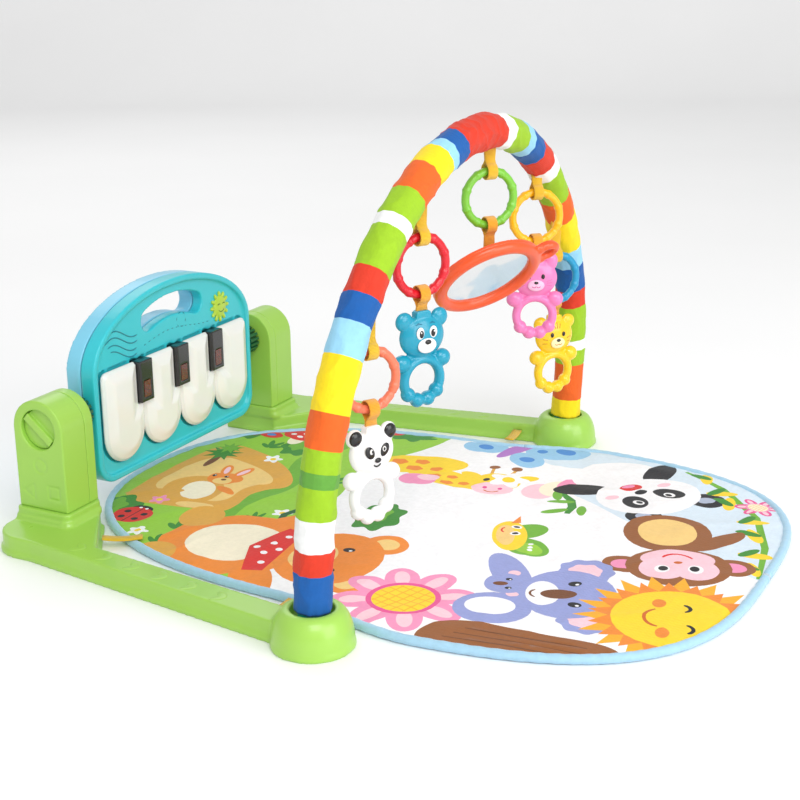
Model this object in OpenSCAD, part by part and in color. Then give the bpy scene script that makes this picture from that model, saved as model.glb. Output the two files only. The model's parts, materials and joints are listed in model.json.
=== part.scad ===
// Activity play gym: two floor bases joined by a soft-sleeved arch, a padded mat between them,
// a kick piano that tilts between two towers, and five hanging toys.
// +X runs across the arch, +Y from the mat towards the piano, +Z up. The origin is the middle
// of the footprint at floor level.

/* [Arch] */
// Distance between the two arch sockets, centre to centre
socket_span = 564; // [548:2:580]
// Height of the middle line of the arch tube at its top
arch_top = 385; // [377:1:395]
// Outer diameter of the arch tube
tube_d = 25; // [23:0.5:25.5]
// Outer diameter of the padded sleeve
sleeve_d = 33; // [31:0.5:33.5]
// Lean of the arch away from the piano, in degrees
arch_lean = 3; // [0:0.5:4]

/* [Bases] */
// Height of each base arm
arm_h = 20; // [18:1:22]
// Height of the collar that each tower stands in
collar_h = 32; // [30:1:34]
// Height of each arch socket
socket_h = 34; // [32:1:36]

/* [Towers] */
// Distance between the inner faces of the two towers
tower_gap = 320; // [318:1:324]
// Width of a tower along the mat
tower_w = 58; // [54:1:60]
// Thickness of a tower across the mat
tower_t = 46; // [44:1:48]
// Height of the tilt axis above the floor
pivot_z = 112; // [110:1:116]

/* [Piano] */
// Width of the piano housing
piano_w = 278; // [276:1:282]
// Thickness of the piano housing
piano_t = 34; // [34:1:36]
// Height of the white keys
key_h = 98; // [94:1:100]

/* [Mat] */
// Width of the mat at its open end
mat_w = 512; // [490:2:516]
// Thickness of the padded mat
mat_t = 7; // [5:0.5:8]

/* [Hidden] */
$fn = 64;

// Small distances shared by many parts
gap = 0.3;          // free gap between parts that move past each other
seat = 0.1;         // gap between parts that are fixed to each other
eps = 0.5;          // overrun of a cut past the face it leaves
wall = 3;

// Main places
arch_y = -36;
tower_y = 307;
half_span = socket_span / 2;
back_y = 341;
mat_front = -342;
mat_back = 336;

// ---------- Arch line: a straight leg, a long arc of 45 degrees, then a tighter arc on top
leg_top = 80;
bend = 45;
long_shift = (arch_top - leg_top - half_span) / (1 + tan(bend) - 1 / cos(bend));
long_r = half_span + long_shift;
top_r = long_r - long_shift / cos(bend);
top_z = leg_top + long_shift * tan(bend);
tube_foot = 4;
sleeve_foot = socket_h - 1;
tube_wall = 2;

lean_z = 20;

module leaned()
    translate([0, arch_y, lean_z]) rotate([arch_lean, 0, 0]) translate([0, -arch_y, -lean_z])
        children();

// A stretch of round pipe: outer radius r, inner radius bore, no bore when it is 0
module pipe_face(r, bore) difference() {
    circle(r = r, $fn = 48);
    if (bore > 0) circle(r = bore, $fn = 48);
}

module arc_pipe(centre_x, centre_z, line_r, from, sweep, r, bore)
    translate([centre_x, arch_y, centre_z]) rotate([90, 0, 0]) rotate([0, 0, from])
        rotate_extrude(angle = sweep, $fn = 160) translate([line_r, 0]) pipe_face(r, bore);

module leg_pipe(r, bore, foot) {
    translate([half_span, arch_y, foot]) linear_extrude(height = leg_top - foot)
        pipe_face(r, bore);
    arc_pipe(half_span - long_r, leg_top, long_r, 0, bend, r, bore);
}

module side(s) mirror([s < 0 ? 1 : 0, 0, 0]) children();

module both_sides() {
    side(1) children();
    side(-1) children();
}

// ---------- Bases
tower_in = tower_gap / 2;
tower_out = tower_in + tower_t;
corner_r = 35;
corner_x = 219;
corner_y = back_y - corner_r;
flange_h = 5;
flange_step = 2.5;
plate_t = 2.5;
dome_r = 36;
rim_r = 21;
cup_r = 18.6;
cup_z = socket_h - 12;
seat_r = tube_d / 2 + seat;

// Plan outline of an arm with its corner under the tower; inset pulls every edge inwards
function arm_outline(inset) = concat(
    [[266 + inset, arch_y + 10], [301 - inset, arch_y + 10], [254 - inset, 288]],
    [for (a = [0 : 15 : 90]) [corner_x + (corner_r - inset) * cos(a),
                              corner_y + (corner_r - inset) * sin(a)]],
    [[158 + inset, back_y - inset], [158 + inset, 274 + inset], [232 + inset, 222 + inset * 0.5]]);

function dome_outline(inset) = concat(
    [[0, 0], [dome_r - inset, 0], [dome_r - inset, 4], [dome_r - 1 - inset, 5]],
    [for (a = [10 : 10 : 90]) [rim_r - inset + (dome_r - 1 - rim_r) * cos(a),
                               5 + (socket_h - 5 - inset) * sin(a)]],
    [[0, socket_h - inset]]);

module base_shell() difference() {
    union() {
        linear_extrude(height = flange_h) polygon(arm_outline(0));
        linear_extrude(height = arm_h) polygon(arm_outline(flange_step));
        translate([half_span, arch_y, 0]) rotate_extrude() polygon(dome_outline(0));
        collar();
    }
    translate([0, 0, -eps]) linear_extrude(height = arm_h - wall + eps)
        intersection() {
            polygon(arm_outline(flange_step + wall));
            difference() {
                translate([100, -100]) square([300, 500]);
                translate([half_span, arch_y]) circle(r = dome_r - 1);
            }
        }
    translate([half_span, arch_y, cup_z]) cylinder(r = cup_r, h = socket_h);
    leaned() translate([half_span, arch_y, tube_foot - seat]) cylinder(r = seat_r, h = socket_h);
    translate([half_span, arch_y, -eps]) cylinder(r = dome_foot_r + seat, h = foot_h + eps);
    for (p = loop_anchors) translate([p[0][0], p[0][1], loop_z]) rotate([0, 0, p[2]])
        cube([14, loop_w + 2, loop_t + 1.5], center = true);
    for (p = foot_places) translate([p[0], p[1], -eps])
        cylinder(r = foot_r + seat, h = foot_h + eps);
    tower_screw_holes(3.4);
}

module collar() {
    r = 8;
    x0 = tower_in - 2;
    x1 = tower_out + 5;
    y0 = tower_y - tower_w / 2 - 4;
    y1 = back_y - 1;
    translate([0, 0, arm_h - 1]) linear_extrude(height = 5)
        rounded_plan(x0, x1 + 2, y0 - 2, y1, r);
    translate([0, 0, arm_h + 3]) linear_extrude(height = collar_h - arm_h - 3)
        rounded_plan(x0, x1, y0, y1 - 1, r);
}

module rounded_plan(x0, x1, y0, y1, r) {
    translate([x0 + r, y0]) square([x1 - x0 - 2 * r, y1 - y0]);
    translate([x0, y0 + r]) square([x1 - x0, y1 - y0 - 2 * r]);
    for (x = [x0 + r, x1 - r], y = [y0 + r, y1 - r]) translate([x, y]) circle(r = r);
}

module tower_screw_holes(d)
    for (y = [-16, 16]) translate([tower_in + tower_t / 2 + 6, tower_y + y, plate_t + 1])
        cylinder(d = d, h = 60);

module base_plates() both_sides() color("yellowgreen") difference() {
    linear_extrude(height = plate_t) difference() {
        polygon(arm_outline(flange_step + wall + seat));
        translate([half_span, arch_y]) circle(r = dome_r - 1 + seat);
    }
    for (p = plate_screws) translate([p[0], p[1], -eps]) cylinder(d = 3.4, h = 10);
    for (p = foot_places) translate([p[0], p[1], -eps]) cylinder(r = foot_r + seat, h = foot_h + eps);
}

plate_screws = [[266, 30], [248, 180], [200, 300]];
foot_places = [[271, 0], [255, 120], [236, 250], [180, 326]];
foot_r = 7;
foot_h = 1.5;
dome_foot_r = 12;

module rubber_feet() both_sides() color("dimgray") {
    for (p = foot_places) translate([p[0], p[1], 0]) cylinder(r = foot_r, h = foot_h - seat);
    translate([half_span, arch_y, 0]) cylinder(r = dome_foot_r, h = foot_h - seat);
}

module screw(d, h) {
    cylinder(d = d * 1.9, h = 1.6);
    translate([0, 0, 1.5]) cylinder(d = d, h = h);
}

module frame_screws() both_sides() color("silver") {
    for (p = plate_screws) translate([p[0], p[1], plate_t + seat]) cylinder(d = 3, h = 12);
    for (y = [-16, 16]) translate([tower_in + tower_t / 2 + 6, tower_y + y, arm_h - wall - 1.8])
        screw(3, collar_h - arm_h + 6);
    for (p = [[-20, 20], [20, 20], [0, 60]])
        translate([tower_in + wall_in + seat, tower_y + p[0], collar_h + p[1] - 10])
            rotate([0, 90, 0]) cylinder(d = 3, h = tower_t - 2 * wall - 1);
}

// ---------- Towers
seam_x = tower_in + 12;
wall_in = 3;
top_r2 = tower_w / 2;
dial_r = 19.6;
dial_depth = 8;
dial_shaft_r = 4;
journal_r = 8;

module tower_profile(inset) {
    translate([tower_y - top_r2 + inset, collar_h + inset + seat])
        square([tower_w - 2 * inset, pivot_z - collar_h - inset]);
    translate([tower_y, pivot_z]) circle(r = top_r2 - inset);
}

module tower_slab(x0, x1, inset = 0)
    translate([x0, 0, 0]) rotate([90, 0, 90]) linear_extrude(height = x1 - x0)
        tower_profile(inset);

module along_x(x0, x1, r, y = tower_y, z = pivot_z)
    translate([x0, y, z]) rotate([0, 90, 0]) cylinder(r = r, h = x1 - x0);

module tower_outer() difference() {
    union() {
        difference() {
            tower_slab(seam_x + seat, tower_out);
            tower_slab(seam_x - eps, tower_out - wall, wall);
        }
        along_x(tower_out - dial_depth - wall, tower_out - eps, dial_r + wall);
    }
    along_x(tower_out - dial_depth, tower_out + eps, dial_r + gap);
    along_x(tower_out - dial_depth - wall - eps, tower_out, dial_shaft_r + 0.08);
    relief_marks();
    tower_foot_holes();
}

// Shallow marks under the dial: a ring above a square and a triangle
module relief_marks() translate([tower_out - 0.8, tower_y, 0]) rotate([90, 0, 90])
    linear_extrude(height = 2) {
        translate([0, 76]) ring_mark();
        translate([-14, 50]) difference() {
            square(15, center = true);
            square(10, center = true);
        }
        translate([14, 49]) difference() {
            circle(r = 10.5, $fn = 3);
            circle(r = 5.5, $fn = 3);
        }
    }

module ring_mark() difference() {
    circle(r = 8);
    circle(r = 5.2);
}

module tower_foot_holes()
    for (y = [-16, 16]) translate([tower_in + tower_t / 2 + 6, tower_y + y, collar_h - eps])
        cylinder(d = 3.2, h = 8);

module tower_inner() difference() {
    tower_slab(tower_in, seam_x);
    tower_slab(tower_in + wall_in, seam_x + eps, wall);
    along_x(tower_in - eps, tower_in + wall_in + eps, journal_r + 0.08);
}

wheel_r = 15;
wheel_x = tower_in + wall_in + 1;

// Leaf spring whose nose sits just clear of the wheel's teeth
module detent_springs() both_sides() color("silver") {
    translate([wheel_x, tower_y - 8, pivot_z - wheel_r - 6]) cube([6, 16, 1]);
    translate([wheel_x, tower_y - 1, pivot_z - wheel_r - 5.2]) cube([6, 2, 4.4]);
    translate([wheel_x, tower_y - 8, pivot_z - wheel_r - 26]) cube([6, 1, 20.5]);
}

module tilt_dial() {
    along_x(tower_out - dial_depth + gap, tower_out - dial_depth + 3, dial_r);
    along_x(tower_out - dial_depth - wall - 6, tower_out - dial_depth + 1, dial_shaft_r);
    translate([tower_out - dial_depth + 2, tower_y, pivot_z]) rotate([40, 0, 0])
        translate([0, -dial_r + 1, -4]) cube([dial_depth - 2.5, 2 * dial_r - 2, 8]);
}

// ---------- Arch
tube_r = tube_d / 2;
tube_bore = tube_r - tube_wall;

// The arch is two side tubes and a crown tube, held together by two straight plugs
tube_joint = 0.02;
plug_len = 36;
plug_r = tube_bore - 0.8;

module arch_side_tubes() color("turquoise") both_sides() leaned()
    leg_pipe(tube_r, tube_bore, tube_foot);

module arch_crown_tube() color("turquoise") leaned()
    arc_pipe(0, top_z, top_r, bend + tube_joint, 180 - 2 * bend - 2 * tube_joint, tube_r,
        tube_bore);

module arch_plugs() color("turquoise") both_sides() leaned()
    translate([top_r * cos(bend), arch_y, top_z + top_r * sin(bend)]) rotate([0, -bend, 0])
        translate([0, 0, -plug_len / 2]) cylinder(r = plug_r, h = plug_len);

// The sleeve is sewn from two side panels and a crown panel, with a hair gap at each seam
seam_turn = 0.02;

module arch_sleeve() color("orangered") leaned() {
    both_sides() leg_pipe(sleeve_d / 2, tube_r + gap, sleeve_foot);
    arc_pipe(0, top_z, top_r, bend + seam_turn, 180 - 2 * bend - 2 * seam_turn, sleeve_d / 2,
        tube_r + gap);
}

// ---------- Mat
bind_w = 6;
mat_back_w = 456;
front_power = 0.625;
back_power = 0.83;
loop_w = 9;
loop_t = 1.6;
loop_z = 11;

function signed_power(v, p) = sign(v) * pow(abs(v), p);
function blend_step(t) = t <= 0 ? 0 : t >= 1 ? 1 : t * t * (3 - 2 * t);
function mat_half_w(y) = (mat_w + (mat_back_w - mat_w) * blend_step((y + 110) / 150)) / 2;
function mat_point(a, inset) =
    let (p = sin(a) < 0 ? front_power : back_power,
         y = signed_power(sin(a), p) * (sin(a) < 0 ? -mat_front : mat_back))
    [signed_power(cos(a), p) * (mat_half_w(y) - inset), y * (1 - inset / 340)];
function mat_outline(inset) = [for (i = [0 : 95]) mat_point(i * 360 / 96, inset)];

module mat_pad() color("white")
    linear_extrude(height = mat_t) polygon(mat_outline(bind_w));

module mat_binding() color("lightblue") linear_extrude(height = mat_t + 1.5) difference() {
    polygon(mat_outline(0));
    polygon(mat_outline(bind_w - seat));
}

// Each loop runs from the base to the edge of the mat: [end in the base, end on the mat, turn]
loop_anchors = [[[199, 245], [179, 216], 55], [[261, 14], [236, 12], 0]];

module mat_loops() both_sides() color("gold") for (p = loop_anchors) {
    run = p[1] - p[0];
    translate([p[0][0], p[0][1], loop_z - loop_t / 2]) rotate([0, 0, atan2(run[1], run[0])])
        translate([-4, -loop_w / 2, 0]) cube([norm(run) + 8, loop_w, loop_t]);
}

// ---------- Piano
piano_y0 = tower_y - piano_t / 2;
piano_y1 = tower_y + piano_t / 2;
side_x = piano_w / 2;
piano_low = 33;
shoulder_z = 146;
crown = 72;
low_r = 24;
panel_y = piano_y0 + 4;
key_floor_y = piano_y0 + 8;
key_w = 63;
key_pitch = 64;
key_low = 49.5;
key_top = key_low + key_h;
key_front = piano_y0 - 4;
key_back = piano_y0 + 3;
hinge_y = key_back + 2;
hinge_z = key_top - 5;
hinge_r = 2.5;
rod_half = 20;
lug_w = 3.5;
black_w = 21;
black_low = 104;
black_front = key_front - 3;
key_xs = [for (i = [0 : 3]) (i - 1.5) * key_pitch];
black_xs = [for (i = [0 : 2]) (i - 1) * key_pitch];

function piano_outline(inset) = concat(
    [for (a = [180 : 15 : 270]) [-side_x + low_r + (low_r - inset) * cos(a),
                                 piano_low + low_r + (low_r - inset) * sin(a)]],
    [for (a = [270 : 15 : 360]) [side_x - low_r + (low_r - inset) * cos(a),
                                 piano_low + low_r + (low_r - inset) * sin(a)]],
    [for (a = [0 : 5 : 180]) [(side_x - inset) * cos(a), shoulder_z + (crown - inset) * sin(a)]]);

slot_r = 118;
slot_half = 11.5;
slot_turn = 21;
slot_z = 190 - slot_r;
function slot_outline(grow) = concat(
    [for (a = [90 - slot_turn : 6 : 90 + slot_turn])
        [(slot_r + slot_half + grow) * cos(a), slot_z + (slot_r + slot_half + grow) * sin(a)]],
    [for (a = [30 : 30 : 150]) slot_end(1, a, grow)],
    [for (a = [90 + slot_turn : -6 : 90 - slot_turn])
        [(slot_r - slot_half - grow) * cos(a), slot_z + (slot_r - slot_half - grow) * sin(a)]],
    [for (a = [30 : 30 : 150]) slot_end(-1, a, grow)]);
function slot_end(s, a, grow) =
    let (t = 90 + s * slot_turn, out = t + (s > 0 ? a : a - 180))
    [slot_r * cos(t) + (slot_half + grow) * cos(out),
     slot_z + slot_r * sin(t) + (slot_half + grow) * sin(out)];

module upright(y0, y1) translate([0, y1, 0]) rotate([90, 0, 0]) linear_extrude(height = y1 - y0)
    children();

module hub_bores() both_sides() along_x(side_x - 14, side_x + eps, journal_r + seat);

module piano_front_shell() color("mediumturquoise") difference() {
    union() {
        difference() {
            upright(piano_y0, tower_y - seat) polygon(piano_outline(0));
            upright(key_floor_y + wall, tower_y + eps) polygon(piano_outline(wall));
            upright(piano_y0 - eps, panel_y) polygon(piano_outline(7));
        }
        upright(panel_y, tower_y - seat) polygon(slot_outline(wall));
        both_sides() along_x(side_x - 14, side_x - 1, journal_r + 3);
    }
    upright(piano_y0 - 20, piano_y1 + eps) polygon(slot_outline(0));
    difference() {
        for (x = key_xs) translate([x, 0, key_low - 1.2]) upright(piano_y0 - eps, key_floor_y)
            key_plan(key_w + 2.4, key_h + 2.7, 8);
        for (x = key_xs, s = [-1, 1]) hinge_lug(x + s * (rod_half - 2));
    }
    for (x = key_xs) translate([x - 5, piano_y0, 60]) cube([10, 20, 10]);
    for (x = black_xs) translate([x - 6, piano_y0, black_low + 7]) cube([12, 20, 12]);
    for (x = black_xs) translate([x - black_w / 2 - seat, piano_y0 - eps, black_low])
        cube([black_w + 2 * seat, key_floor_y - piano_y0 + eps, key_top - black_low + seat]);
    translate([-300, tower_y - seat, 0]) cube([600, 40, 300]);
    hub_bores();
}

// Lug that carries one end of a white key's hinge rod
module hinge_lug(x) difference() {
    translate([x - lug_w / 2, key_back + 0.6, hinge_z - 5]) cube([lug_w, 10, 10]);
    along_x(x - lug_w, x + lug_w, hinge_r + 0.15, hinge_y, hinge_z);
}

module piano_rear_shell() color("skyblue") difference() {
    union() {
        difference() {
            upright(tower_y + seat, piano_y1) polygon(piano_outline(0));
            upright(tower_y - eps, piano_y1 - wall) polygon(piano_outline(wall));
        }
        upright(tower_y + seat, piano_y1 - eps) polygon(slot_outline(wall));
        both_sides() along_x(side_x - 14, side_x - 1, journal_r + 3);
        for (p = piano_screw_places) translate([p[0], piano_y1 - eps, p[1]]) rotate([90, 0, 0])
            cylinder(r = 4, h = piano_t / 2 - eps - seat);
    }
    upright(piano_y0, piano_y1 + eps) polygon(slot_outline(0));
    translate([-door_w / 2, piano_y1 - wall - eps, door_z]) cube([door_w, 10, door_h]);
    translate([switch_x - 5, piano_y1 - wall - eps, switch_z - 3]) cube([18, 10, 6]);
    for (a = [0 : 60 : 300]) translate([speaker_x + 12 * cos(a), piano_y1 + eps,
        speaker_z + 12 * sin(a)]) rotate([90, 0, 0]) cylinder(d = 5, h = 8);
    translate([speaker_x, piano_y1 + eps, speaker_z]) rotate([90, 0, 0]) cylinder(d = 5, h = 8);
    for (p = piano_screw_places) translate([p[0], piano_y1 + eps, p[1]]) rotate([90, 0, 0]) {
        cylinder(d = 3.3, h = 40);
        cylinder(d = 6.4, h = 8);
    }
    translate([-300, -60 + tower_y + seat, 0]) cube([600, 60, 300]);
    hub_bores();
}

piano_screw_places = [[-118, 52], [118, 52], [-118, 152], [118, 152], [-60, 52], [60, 52]];
door_w = 60;
door_h = 52;
door_z = 74;
switch_x = -88;
switch_z = 128;
speaker_x = 92;
speaker_z = 96;

module piano_screws() color("silver") for (p = piano_screw_places)
    translate([p[0], piano_y1 - 5.8, p[1]]) rotate([90, 0, 0]) screw(3, 10);

module battery_door() color("skyblue") difference() {
    translate([-door_w / 2 + seat, piano_y1 - wall, door_z + seat])
        cube([door_w - 2 * seat, wall, door_h - 2 * seat]);
    for (i = [0 : 3]) translate([-14, piano_y1 - 0.8, door_z + 8 + 4 * i]) cube([28, 2, 1.6]);
    translate([0, piano_y1 - 1.5, door_z + door_h - 7]) rotate([-90, 0, 0]) cylinder(d = 6, h = 4);
}

battery_r = 6.9;

module batteries() color("dimgray") for (i = [0 : 2])
    translate([-25, piano_y1 - wall - battery_r - 0.4, door_z + 9.5 + i * 16.5])
        rotate([0, 90, 0]) {
            cylinder(r = battery_r, h = 48.5);
            translate([0, 0, 48]) cylinder(r = 2.7, h = 2);
        }

board_y = key_floor_y + wall + 1.6;

module circuit_board() color("darkgreen")
    translate([-125, board_y, 56]) cube([250, 1.2, 66]);

module key_lights() color("white") for (x = black_xs)
    translate([x, board_y - seat, black_low + 13]) rotate([90, 0, 0]) {
        cylinder(d = 5, h = 11);
        translate([0, 0, 11]) sphere(d = 5);
    }

module speaker() color("dimgray") translate([speaker_x, piano_y1 - wall - seat, speaker_z])
    rotate([90, 0, 0]) {
        cylinder(r = 20, h = 3);
        cylinder(r = 12, h = 8.5);
    }

sun_x = 85;
sun_z = 168;

module sun_badge() color("yellowgreen") translate([sun_x, panel_y - seat, sun_z])
    rotate([90, 0, 0]) linear_extrude(height = 2.4) {
        circle(r = 12.5);
        for (a = [0 : 30 : 330]) rotate([0, 0, a]) translate([13.2, 0]) circle(r = 4, $fn = 3);
    }

module black_keys() color("black") for (x = black_xs) difference() {
    translate([x - black_w / 2, black_front, black_low])
        cube([black_w, key_floor_y - seat - black_front, key_top - black_low]);
    translate([x - black_w / 2 + 2, black_front + 2, black_low + 2])
        cube([black_w - 4, 40, key_top - black_low - 4]);
    translate([x - 5.5, black_front - 1, black_low + 5]) cube([11, 4, 17]);
}

module light_windows() color("firebrick") for (x = black_xs)
    translate([x - 5.5 + seat, black_front, black_low + 5 + seat])
        cube([11 - 2 * seat, 2, 17 - 2 * seat]);

module key_plan(w, h, r) {
    translate([-w / 2, w / 2]) square([w, h - w / 2 - r]);
    translate([-w / 2 + r, h - 2 * r]) square([w - 2 * r, 2 * r]);
    translate([0, w / 2]) circle(r = w / 2);
    for (s = [-1, 1]) translate([s * (w / 2 - r), h - r]) circle(r = r);
}

plunger_len = 4.2;

module white_key(i) color("ivory") difference() {
    union() {
        translate([key_xs[i], 0, key_low]) {
            upright(key_front + 2, key_back) key_plan(key_w, key_h, 8);
            translate([0, 0, 2]) upright(key_front, key_front + 2.5)
                key_plan(key_w - 4, key_h - 4, 7);
        }
        translate([key_xs[i] - 4.5, key_back - eps, 61]) cube([9, plunger_len + eps, 8]);
        along_x(key_xs[i] - rod_half, key_xs[i] + rod_half, hinge_r, hinge_y, hinge_z);
    }
    for (x = black_xs) translate([x - black_w / 2 - gap * 2, black_front, black_low - gap * 4])
        cube([black_w + gap * 4, 30, 80]);
}

module key_dome_strip() color("lightgray") for (x = key_xs)
    translate([x, board_y - seat, 65]) rotate([90, 0, 0]) cylinder(r = 3.4, h = 1.1);

module mode_switch() color("gold") {
    translate([switch_x - 4, piano_y1 - wall - 1, switch_z - 2.7]) cube([8, wall + 3.5, 5.4]);
    translate([switch_x - 8, piano_y1 - wall - 3, switch_z - 5]) cube([16, 2.5, 10]);
}

flange_x = side_x + 3;

module pivot_hubs() both_sides() color("darkgreen") {
    along_x(side_x - 12, tower_in + wall_in + 9, journal_r);
    along_x(flange_x, tower_in - 2, 13);
    for (a = [0 : 20 : 340]) translate([flange_x, tower_y, pivot_z]) rotate([a, 0, 0])
        translate([0, -1.5, 12]) cube([tower_in - 2 - flange_x, 3, 4]);
}

module detent_wheels() both_sides() color("darkgreen") difference() {
    union() {
        along_x(wheel_x, wheel_x + 6, wheel_r - 3);
        for (a = [10 : 20 : 350]) translate([wheel_x, tower_y, pivot_z]) rotate([a, 0, 0])
            translate([0, -1.5, wheel_r - 5]) cube([6, 3, 4.5]);
    }
    along_x(wheel_x - eps, wheel_x + 7, journal_r + seat);
}

// ---------- Hanging toys: place across the arch, length of each sleeve tab, and how far each
// ring and each toy is turned about its own upright line
hang_x = [-203, -115, 24, 144, 206];
hang_drop = [33, 29, 20, 14, 29];
ring_turn = [60, 60, 52, 44, 50];
toy_turn = [66, 60, 0, 30, 54];
ring_r = 25;
ring_tube = 3.8;
web_w = 8;
web_t = 1.3;
loop_slack = 2.4;
neck = 11;
neck_w = 12;
neck_low = 6.2;
toy_t = 12;
toy_drop = ring_tube + loop_slack + web_t + neck - 3;

function on_long_arc(x) = abs(x) > top_r * cos(bend);
function arch_line_z(x) = on_long_arc(x)
    ? leg_top + sqrt(pow(long_r, 2) - pow(abs(x) + long_r - half_span, 2))
    : top_z + sqrt(pow(top_r, 2) - pow(x, 2));
function arch_line_turn(x) = on_long_arc(x)
    ? acos((abs(x) + long_r - half_span) / long_r)
    : acos(abs(x) / top_r);
function hang_y(i) = arch_y - (arch_line_z(hang_x[i]) - lean_z) * sin(arch_lean);
function under_z(i) = lean_z + (arch_line_z(hang_x[i]) - lean_z) * cos(arch_lean)
    - sleeve_d / 2 / sin(arch_line_turn(hang_x[i]));
function ring_top_z(i) = under_z(i) - hang_drop[i];
function ring_low_z(i) = ring_top_z(i) - 2 * ring_r;

module at_ring_top(i) translate([hang_x[i], hang_y(i), ring_top_z(i)]) children();

module at_ring_low(i) translate([hang_x[i], hang_y(i), ring_low_z(i)]) children();

// A flat webbing loop round the ring's rod, with a neck running up from it
loop_inner = ring_tube + loop_slack;

module web_loop(neck_len) translate([0, web_w / 2, 0]) rotate([90, 0, 0])
    linear_extrude(height = web_w) {
        difference() {
            circle(r = loop_inner + web_t);
            circle(r = loop_inner);
        }
        translate([-web_t, loop_inner + 0.6]) square([2 * web_t, neck_len]);
    }

module sleeve_tabs() color("gold") for (i = [0 : 4])
    at_ring_top(i) rotate([0, 0, ring_turn[i]])
        web_loop(hang_drop[i] - loop_inner + 0.6);

module hang_ring(i) at_ring_top(i) rotate([0, 0, ring_turn[i]]) translate([0, 0, -ring_r])
    rotate([0, 90, 0]) {
        rotate_extrude($fn = 96) translate([ring_r, 0]) circle(r = ring_tube, $fn = 24);
        for (a = [30 : 40 : 150]) for (s = [-1, 1]) rotate([0, 0, s * a])
            translate([-ring_r, 0, 0]) sphere(r = ring_tube + 0.9, $fn = 24);
    }

// The strap is broad between the loop and the slot that it is fixed in
module strap(i, length = neck, broad = neck_low) color("orange") at_ring_low(i)
    rotate([0, 0, ring_turn[i]]) mirror([0, 0, 1]) {
        web_loop(length);
        translate([-web_t, -neck_w / 2, loop_inner + web_t + 0.5]) cube([2 * web_t, neck_w, broad]);
    }

module strap_slot(i, depth, length) at_ring_low(i) rotate([0, 0, ring_turn[i]])
    translate([-web_t - seat, -web_w / 2 - seat, -depth]) cube([2 * (web_t + seat), web_w + 2 * seat, length]);

// Plan of an animal toy in its own plane, hung from [0, 0]
module toy_plan(ear_r, ear_out, paw_r) {
    head = -22;
    grip = -61;
    translate([0, head]) circle(r = 20);
    for (s = [-1, 1]) {
        translate([s * ear_out, head + 15]) circle(r = ear_r);
        translate([s * 19, head - 22]) circle(r = paw_r);
    }
    difference() {
        union() {
            translate([0, grip]) circle(r = 21);
            for (a = [-150, -110, -70, -30]) translate([20 * cos(a), grip + 20 * sin(a)])
                circle(r = 5);
        }
        translate([0, grip]) circle(r = 13);
    }
    translate([-8, -6]) square([16, 7]);
}

module toy_half(i, s, ear_r = 7, ear_out = 15, paw_r = 7.5) difference() {
    at_toy(i) translate([0, 0, s < 0 ? -toy_t / 2 : seat / 2])
        linear_extrude(height = toy_t / 2 - seat / 2) toy_plan(ear_r, ear_out, paw_r);
    strap_slot(i, toy_drop + 4, 12);
    at_toy(i) translate([0, -22, -4]) cylinder(r = 13, h = 8);
}

module at_toy(i) at_ring_low(i) translate([0, 0, -toy_drop]) rotate([90, 0, 90 + toy_turn[i]])
    children();

// ---------- Mirror: its face looks down at the baby, and its back carries a lug for the strap
mirror_r = 54;
mirror_tilt = [-28, 37, 17];
mirror_shift = [-1, 1.4, -49];
frame_in = 41;
frame_t = 5;
back_t = 4;
plate_half = 1;
lobe_r = 12;
lobe_hole = 6;
lug_place = [-6, -4, 3];
lug_r = 7.5;
lug_h = 10;

module at_mirror() at_ring_low(2) translate(mirror_shift) rotate(mirror_tilt) children();

module mirror_disc(z0, z1) translate([0, 0, z0]) linear_extrude(height = z1 - z0) difference() {
    union() {
        circle(r = mirror_r);
        translate([0, -mirror_r - 6]) circle(r = lobe_r);
    }
    translate([0, -mirror_r - 7]) circle(r = lobe_hole);
}

module plate_recess() translate([0, 0, -plate_half - seat])
    cylinder(r = frame_in + 3, h = 2 * (plate_half + seat));

module mirror_frame() color("coral") at_mirror() difference() {
    mirror_disc(-frame_t, -seat / 2);
    translate([0, 0, -frame_t - eps]) cylinder(r = frame_in, h = frame_t + 2 * eps);
    plate_recess();
}

module mirror_plate() color("silver") at_mirror()
    translate([0, 0, -plate_half]) cylinder(r = frame_in + 2.9, h = 2 * plate_half);

module mirror_back() color("coral") difference() {
    at_mirror() difference() {
        union() {
            mirror_disc(seat / 2, back_t);
            translate(lug_place) cylinder(r = lug_r, h = lug_h);
        }
        plate_recess();
    }
    strap_slot(2, 43, 25);
}

module strap_3() strap(2, 34.2, 21);

color("yellowgreen") side(-1) base_shell();  // left_base_shell
color("yellowgreen") side(1) base_shell();  // right_base_shell
base_plates();
frame_screws();
rubber_feet();
color("yellowgreen") side(-1) tower_outer();  // left_tower_outer
color("yellowgreen") side(-1) tower_inner();  // left_tower_inner
color("yellowgreen") side(1) tower_outer();  // right_tower_outer
color("yellowgreen") side(1) tower_inner();  // right_tower_inner
detent_springs();
arch_side_tubes();
arch_crown_tube();
arch_plugs();
arch_sleeve();
sleeve_tabs();
mat_pad();
mat_binding();
mat_loops();
color("limegreen") side(-1) tilt_dial();  // left_tilt_dial
color("limegreen") side(1) tilt_dial();  // right_tilt_dial
piano_front_shell();
piano_rear_shell();
pivot_hubs();
detent_wheels();
piano_screws();
circuit_board();
key_lights();
speaker();
battery_door();
batteries();
sun_badge();
black_keys();
light_windows();
white_key(0);  // white_key_1
white_key(1);  // white_key_2
white_key(2);  // white_key_3
white_key(3);  // white_key_4
key_dome_strip();
mode_switch();
color("coral") hang_ring(0);  // ring_1
color("crimson") hang_ring(1);  // ring_2
color("limegreen") hang_ring(2);  // ring_3
color("gold") hang_ring(3);  // ring_4
color("deepskyblue") hang_ring(4);  // ring_5
strap(0);  // strap_1
strap(1);  // strap_2
strap_3();
strap(3);  // strap_4
strap(4);  // strap_5
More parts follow.
